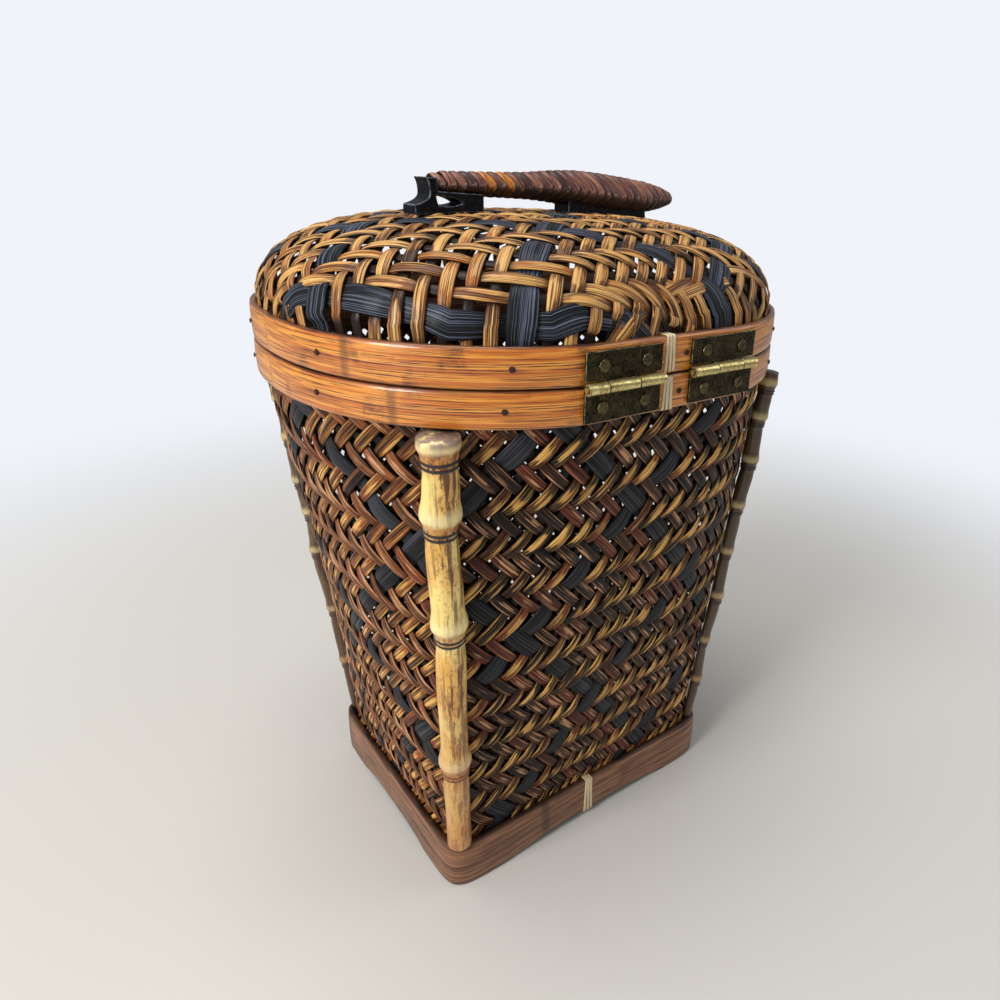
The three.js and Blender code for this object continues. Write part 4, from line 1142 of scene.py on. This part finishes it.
# %% Bind the ties
tie_x, turn_pitch, turn_width, turn_thickness = 3.4, 2.2, 2.0, 0.75
turn_corner, turn_step, over_hoop, past_hoop, seam_room = 1.0, 1.2, 0.2, 0.15, 0.75
turn_leans = (0.9, 0.2, -0.7)


def tie_turn(x, lean, y0, y1, z0, z1):
    """One turn of cane round what lies between y0 and y1, z0 and z1."""
    path = []
    for cy, cz, start in ((y1, z1, 0), (y0, z1, 90), (y0, z0, 180), (y1, z0, 270)):
        middle = (cy + (-turn_corner if cy == y1 else turn_corner),
                  cz + (-turn_corner if cz == z1 else turn_corner))
        for a in np.radians(np.linspace(start, start + 90, 7)):
            path.append((middle[0] + turn_corner * math.cos(a),
                         middle[1] + turn_corner * math.sin(a)))
    path = np.array(path)
    fine = []
    for a, b in zip(path, np.roll(path, -1, 0)):
        pieces = max(1, int(np.hypot(*(b - a)) / turn_step))
        fine += [a + (b - a) * k / pieces for k in range(pieces)]
    path = np.array(fine)
    x_line = x + lean * (path[:, 1] - (z0 + z1) / 2) / (z1 - z0)
    line = np.stack([x_line, path[:, 0] + centre_y, path[:, 1]], -1)
    ahead = unit(np.roll(line, -1, 0) - np.roll(line, 1, 0))
    out = np.cross(ahead, np.array([-1.0, 0, 0]))
    return strand(line, out, turn_width / 2, turn_thickness, closed=True,
                  tone=dice.uniform(), lift=0.5)


inner_face = rim_flat_y - inner_inset - inner_thickness
rim_sides = (inner_face - over_hoop, rim_flat_y + past_hoop)
foot_sides = (foot_half_y - 7.2, foot_half_y + past_hoop)
ties = {
    "body_hoop_tie": ("body", (*rim_sides, hoop_bottom - over_hoop, mouth_height - seam_room)),
    "lid_hoop_tie": ("lid", (*rim_sides, lid_bottom + seam_room, lid_top + over_hoop)),
    "foot_tie": ("body", (*foot_sides, arch_rise - over_hoop, foot_height + over_hoop)),
}
for name, (body, sides) in ties.items():
    turns = [tie_turn(tie_x + (k - 1) * turn_pitch, lean, *sides)
             for k, lean in enumerate(turn_leans)]
    make_piece(name.replace("_tie", "_binding"), turns, tie_finish, body, [name])

# %% [markdown]
# ## The carved bracket
# The handle's bracket is one piece of wood, sawn to its side view, pierced by a leaf-shaped eye
# under the grip and then eased along its edges. Blocks put together would show their joints, so
# it is made here as it is in wood: the side view is drawn as a loop with the eye as a second
# one, filled, pushed through to its width, and given a fine bevel, which is what catches the
# light along a lacquered edge.

# %% Draw the side view
handle_x, bracket_half_width, core_half_width = -7.0, 7.0, 4.0
dome_top = lid_top - dome_drop + dome_rise
bracket_top, post_top = dome_top + 8.4, dome_top + 15.6
foot_outer, left_inner, right_inner = 75.0, 37.0, 17.0


def dome_above(x):
    """The solid dome's height under the middle of the handle."""
    reach = abs(x + handle_x) / (rim_half_x - hoop_thickness - clearance)
    rise = (1 - reach ** dome_plan_power) ** (1 / dome_rise_power)
    return dome_top - dome_rise + dome_rise * rise


def on_dome(start, end):
    """Points along the dome under the bracket, from one x to the other."""
    return [(x, dome_above(x)) for x in np.linspace(start, end, 9)]


def drawn(start, *bends, steps=7):
    """A loop that starts at a point and goes on by bends, each a control point and an end, or by
    straight lines, each an end alone."""
    loop = [np.array(start, float)]
    for bend in bends:
        if len(bend) == 2:
            loop.append(np.array(bend, float))
            continue
        begin, control, end = loop[-1], np.array(bend[:2]), np.array(bend[2:])
        for s in np.linspace(0, 1, steps)[1:]:
            loop.append(begin * (1 - s) ** 2 + control * 2 * s * (1 - s) + end * s * s)
    return loop


base, hollow = dome_above(foot_outer), foot_outer - 8.0
post_side = drawn(
    (foot_outer, base), (foot_outer, base + 5), (hollow, base + 7, hollow, bracket_top),
    (hollow, post_top - 2, hollow + 2, post_top), (hollow - 4, post_top),
    (62.6, bracket_top + 1), (left_inner, bracket_top), *on_dome(left_inner, foot_outer)[:-1])
eye_x = foot_outer - 11.5
eye_sill = dome_above(eye_x) + 3.8
eye_side = drawn(
    (eye_x, eye_sill + 4.6), (eye_x - 9, eye_sill + 4.6, eye_x - 14.5, eye_sill + 1.2),
    (eye_x - 9, eye_sill - 0.7, eye_x - 1.2, eye_sill),
    (eye_x, eye_sill + 2.3, eye_x, eye_sill + 4.5))[:-1]
block_side = drawn((-right_inner, bracket_top), (2 - foot_outer, bracket_top),
                   *on_dome(-foot_outer, -right_inner))
core_side = drawn((-92, bracket_top - 1), (64, bracket_top - 1),
                  (64, dome_top + 13.4), (-92, dome_top + 11))
print("bracket, mm above the dome:", round(post_top - dome_top, 1), "eye:", len(eye_side), "points")

# %% Saw it out and ease its edges
def sawn(parts):
    """Side views, each filled and pushed through to its own width, in one mesh."""
    form = bmesh.new()
    for sides, half_width in parts:
        edges = []
        for loop in sides:
            corners = [form.verts.new(((x + handle_x) * MM, (centre_y - half_width) * MM, z * MM))
                       for x, z in loop]
            edges += [form.edges.new((corner, corners[(k + 1) % len(corners)]))
                      for k, corner in enumerate(corners)]
        filled = bmesh.ops.triangle_fill(form, use_beauty=True, edges=edges)
        flat = [part for part in filled["geom"] if isinstance(part, bmesh.types.BMFace)]
        pushed = bmesh.ops.extrude_face_region(form, geom=flat)
        moved = [part for part in pushed["geom"] if isinstance(part, bmesh.types.BMVert)]
        bmesh.ops.translate(form, verts=moved, vec=(0, 2 * half_width * MM, 0))
    bmesh.ops.recalc_face_normals(form, faces=form.faces[:])
    mesh = bpy.data.meshes.new("sawn")
    form.to_mesh(mesh)
    form.free()
    return mesh


def ease_edges(made, width_mm, worn):
    """A fine bevel on every sharp edge, with its own paler finish, partly wear and partly a painted
    highlight, shaded so that only the bevel turns the light."""
    made.data.materials.append(worn)
    weld = made.modifiers.new("weld", "WELD")
    weld.merge_threshold = 0.01 * MM
    bevel = made.modifiers.new("ease", "BEVEL")
    bevel.width, bevel.segments, bevel.limit_method = width_mm * MM, 2, "ANGLE"
    bevel.material = 1
    bevel.angle_limit, bevel.use_clamp_overlap = math.radians(32), False
    made.modifiers.new("shade", "WEIGHTED_NORMAL")


bracket = bpy.data.objects.new("carved_bracket", sawn([
    ([post_side, eye_side], bracket_half_width), ([block_side], bracket_half_width),
    ([core_side], core_half_width)]))
bpy.context.scene.collection.objects.link(bracket)
bracket.data.materials.append(black_lacquer)
bracket.data.shade_smooth()
ease_edges(bracket, 0.55, lacquer_edge_wear_and_highlight)
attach(bracket, "lid")
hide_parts("handle_bracket")
print("carved bracket:", len(bracket.data.polygons), "faces before easing")

# %% [markdown]
# ## The grip's wrapping
# The grip is a carved lens wound with split cane, some thirty turns that come to a point along
# the ridge on each side, like a chevron. A wound strand could be one long helix, but each turn
# on a fat lens would stand too steep at its ends. Separate turns, each a closed strand round the
# lens on a bent slice, keep the slant that the hand gave them.

# %% The lens under the wrapping
grip_half_width, rise_above, rise_below = 12.5, 11.4, 9.6
lens_roundness, ridge_rise, ridge_fall = 1.8, 12.4, 4.5
grip_start, grip_end = -101, 62
swell_at = [grip_start, -97, -89, -77, -62, -44, -26, -10, 6, 24, 44, 57, grip_end]
swell_by = [0.16, 0.42, 0.64, 0.85, 0.97, 1.0, 0.95, 0.81, 0.67, 0.61, 0.58, 0.56, 0.46]


def grip_section(x, angle, shrink):
    """A point of the lens: x along the handle, angle round it, shrink is how far inside it lies."""
    swell = np.interp(x, swell_at, swell_by)
    c, s = np.cos(angle), np.sin(angle)
    y = (grip_half_width * swell - shrink) * np.sign(c) * np.abs(c) ** (2 / lens_roundness)
    rise = np.where(s > 0, rise_above, rise_below) * swell - shrink
    ease = np.clip(-x / foot_outer, 0, 1)
    ridge = dome_top + ridge_rise - ridge_fall * ease * ease * (3 - 2 * ease)
    z = ridge + rise * np.sign(s) * np.abs(s) ** (2 / lens_roundness)
    return np.stack([x + handle_x, y + centre_y, z], -1)


print("grip, mm long:", grip_end - grip_start, "and wide:", 2 * grip_half_width)

# %% Wind the grip
wrap_width, wrap_thickness, wrap_slant, wrap_gap = 5.3, 1.2, 6.5, 0.25
turn_points, first_turn = 96, 60.5
amber_from, amber_to = 19.0, 34.0


def wrap_turn(x, close, tone):
    """One closed turn at x, bent back along the ridges, less slanting near the grip's ends."""
    angle = np.linspace(0, 2 * np.pi, turn_points + 1)[:-1]
    slant = wrap_slant * min(1.0, (x - grip_start) / 30, 0.3 + (grip_end - x) / 120)
    bent_by = np.sqrt(np.sin(angle) ** 2 + 0.012) - 0.11
    tilted = np.clip(x + slant * (bent_by - 0.35), grip_start + 0.6, grip_end)
    line = grip_section(tilted, angle, wrap_thickness)
    out = line - line.mean(0)
    out[:, 0] = 0
    return strand(line, unit(out), wrap_width / 2 * close, wrap_thickness, closed=True,
                  tone=tone, lift=np.sin(angle))


turns, x = [], first_turn
while x > grip_start + 2.5:
    close = float(np.clip((x - grip_start) / 24, 0.42, 1))
    tone = 1.0 if amber_from < x < amber_to and len(turns) % 2 else dice.uniform(0.0, 0.8)
    turns.append(wrap_turn(x, close, tone))
    x -= (wrap_width + wrap_gap) * close
make_piece("grip_wrapping", turns, grip_finish, "lid", ["handle_wrap"])

# %% [markdown]
# ## Finishes for the parts kept as they are
# The hinges, hasp, staple, screws, nails and backing slat are already their real shape, so they
# only need a finish. A sharp edge has nothing that could catch the light, and cutting bevels by
# hand on so many parts would be slow, so one modifier eases the edges of all the brass.

# %% Dress the kept parts
# Part of a name: its finish, how far its edges are eased in mm, and their finish.
kept_finish = {
    "handle_backing_slat": (hoop_finish, 0, None),
    "handle_screw": (dark_iron, 0, None),
    "hoop_nail": (dark_iron, 0, None),
    "_screw": (screw_brass, 0.1, screw_brass),
    "_pin": (rubbed_brass, 0, None),
    "er_leaf": (leaf_brass, 0.22, brass_edge_wear_and_highlight),
    "": (old_brass, 0.22, brass_edge_wear_and_highlight),
}
for name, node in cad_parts.items():
    if node.hide_render:
        continue
    finish, eased_mm, edge_finish = next(
        made for part, made in kept_finish.items() if part in name)
    node.data.materials.clear()
    node.data.materials.append(finish)
    if eased_mm:
        ease_edges(node, eased_mm, edge_finish)
print("parts kept:", sum(not node.hide_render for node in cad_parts.values()))

# %% [markdown]
# ## Floor and light
# A plain pale floor, one wide soft lamp on the lit side, one above, and a weak one opposite. A
# bright room would give the same pale background, but it would light the basket too and wash its
# browns out. So only the rays that the camera sends past everything see the background, the
# floor fades into it, and the light that reaches the basket is set on its own.

# %% Floor
floor_half = 20
floor_mesh = bpy.data.meshes.new("floor")
floor_mesh.from_pydata(
    [(x * floor_half, y * floor_half, 0) for x, y in ((-1, -1), (1, -1), (1, 1), (-1, 1))],
    [], [(0, 1, 2, 3)])
floor = bpy.data.objects.new("floor", floor_mesh)
bpy.context.scene.collection.objects.link(floor)
background = colour(240, 243, 249)
floor_finish, tree, shader = new_material(
    "pale floor", Base_Color=colour(216, 212, 204), Roughness=0.95, Specular_IOR_Level=0.2)
seen_ray = put(tree, "ShaderNodeLightPath").outputs["Is Camera Ray"]
spot = put(tree, "ShaderNodeTexCoord").outputs["Object"]
far = put(tree, "ShaderNodeVectorMath", {0: spot}, operation="LENGTH").outputs["Value"]
fade = times(tree, between(tree, far, 0.3, 0.95), seen_ray)
pale = put(tree, "ShaderNodeEmission", {"Color": background, "Strength": 1.0})
both = put(tree, "ShaderNodeMixShader", {0: fade, 1: shader.outputs[0], 2: pale.outputs[0]})
tree.links.new(both.outputs[0], tree.nodes["Material Output"].inputs[0])
floor_mesh.materials.append(floor_finish)
print("floor, m across:", 2 * floor_half)

# %% World and lamps
world = bpy.data.worlds.new("soft room")
bpy.context.scene.world = world
world.use_nodes = True
tree = world.node_tree
room = tree.nodes["Background"]
fill(tree, room.inputs, {"Color": colour(236, 240, 246), "Strength": 0.34})
seen = put(tree, "ShaderNodeBackground", {"Color": background, "Strength": 1.0})
direct = put(tree, "ShaderNodeLightPath").outputs["Is Camera Ray"]
both = put(tree, "ShaderNodeMixShader", {0: direct, 1: room.outputs[0], 2: seen.outputs[0]})
tree.links.new(both.outputs[0], tree.nodes["World Output"].inputs[0])
lamp_aim = Vector((0, 0, 0.22))


def soft_lamp(name, place, size, power):
    """A round lamp in metres and watts, turned to the middle of the basket."""
    data = bpy.data.lights.new(name, "AREA")
    data.shape, data.size, data.energy = "DISK", size, power
    lamp = bpy.data.objects.new(name, data)
    lamp.location = place
    lamp.rotation_euler = (lamp_aim - Vector(place)).to_track_quat("-Z", "Y").to_euler()
    bpy.context.scene.collection.objects.link(lamp)


soft_lamp("lit_side", (1.6, 0.25, 1.1), 0.8, 26)
soft_lamp("above", (0.2, -0.1, 1.7), 1.0, 11)
soft_lamp("far_side", (-1.5, 0.9, 1.2), 1.2, 5)
bpy.context.scene.view_settings.view_transform = "Standard"
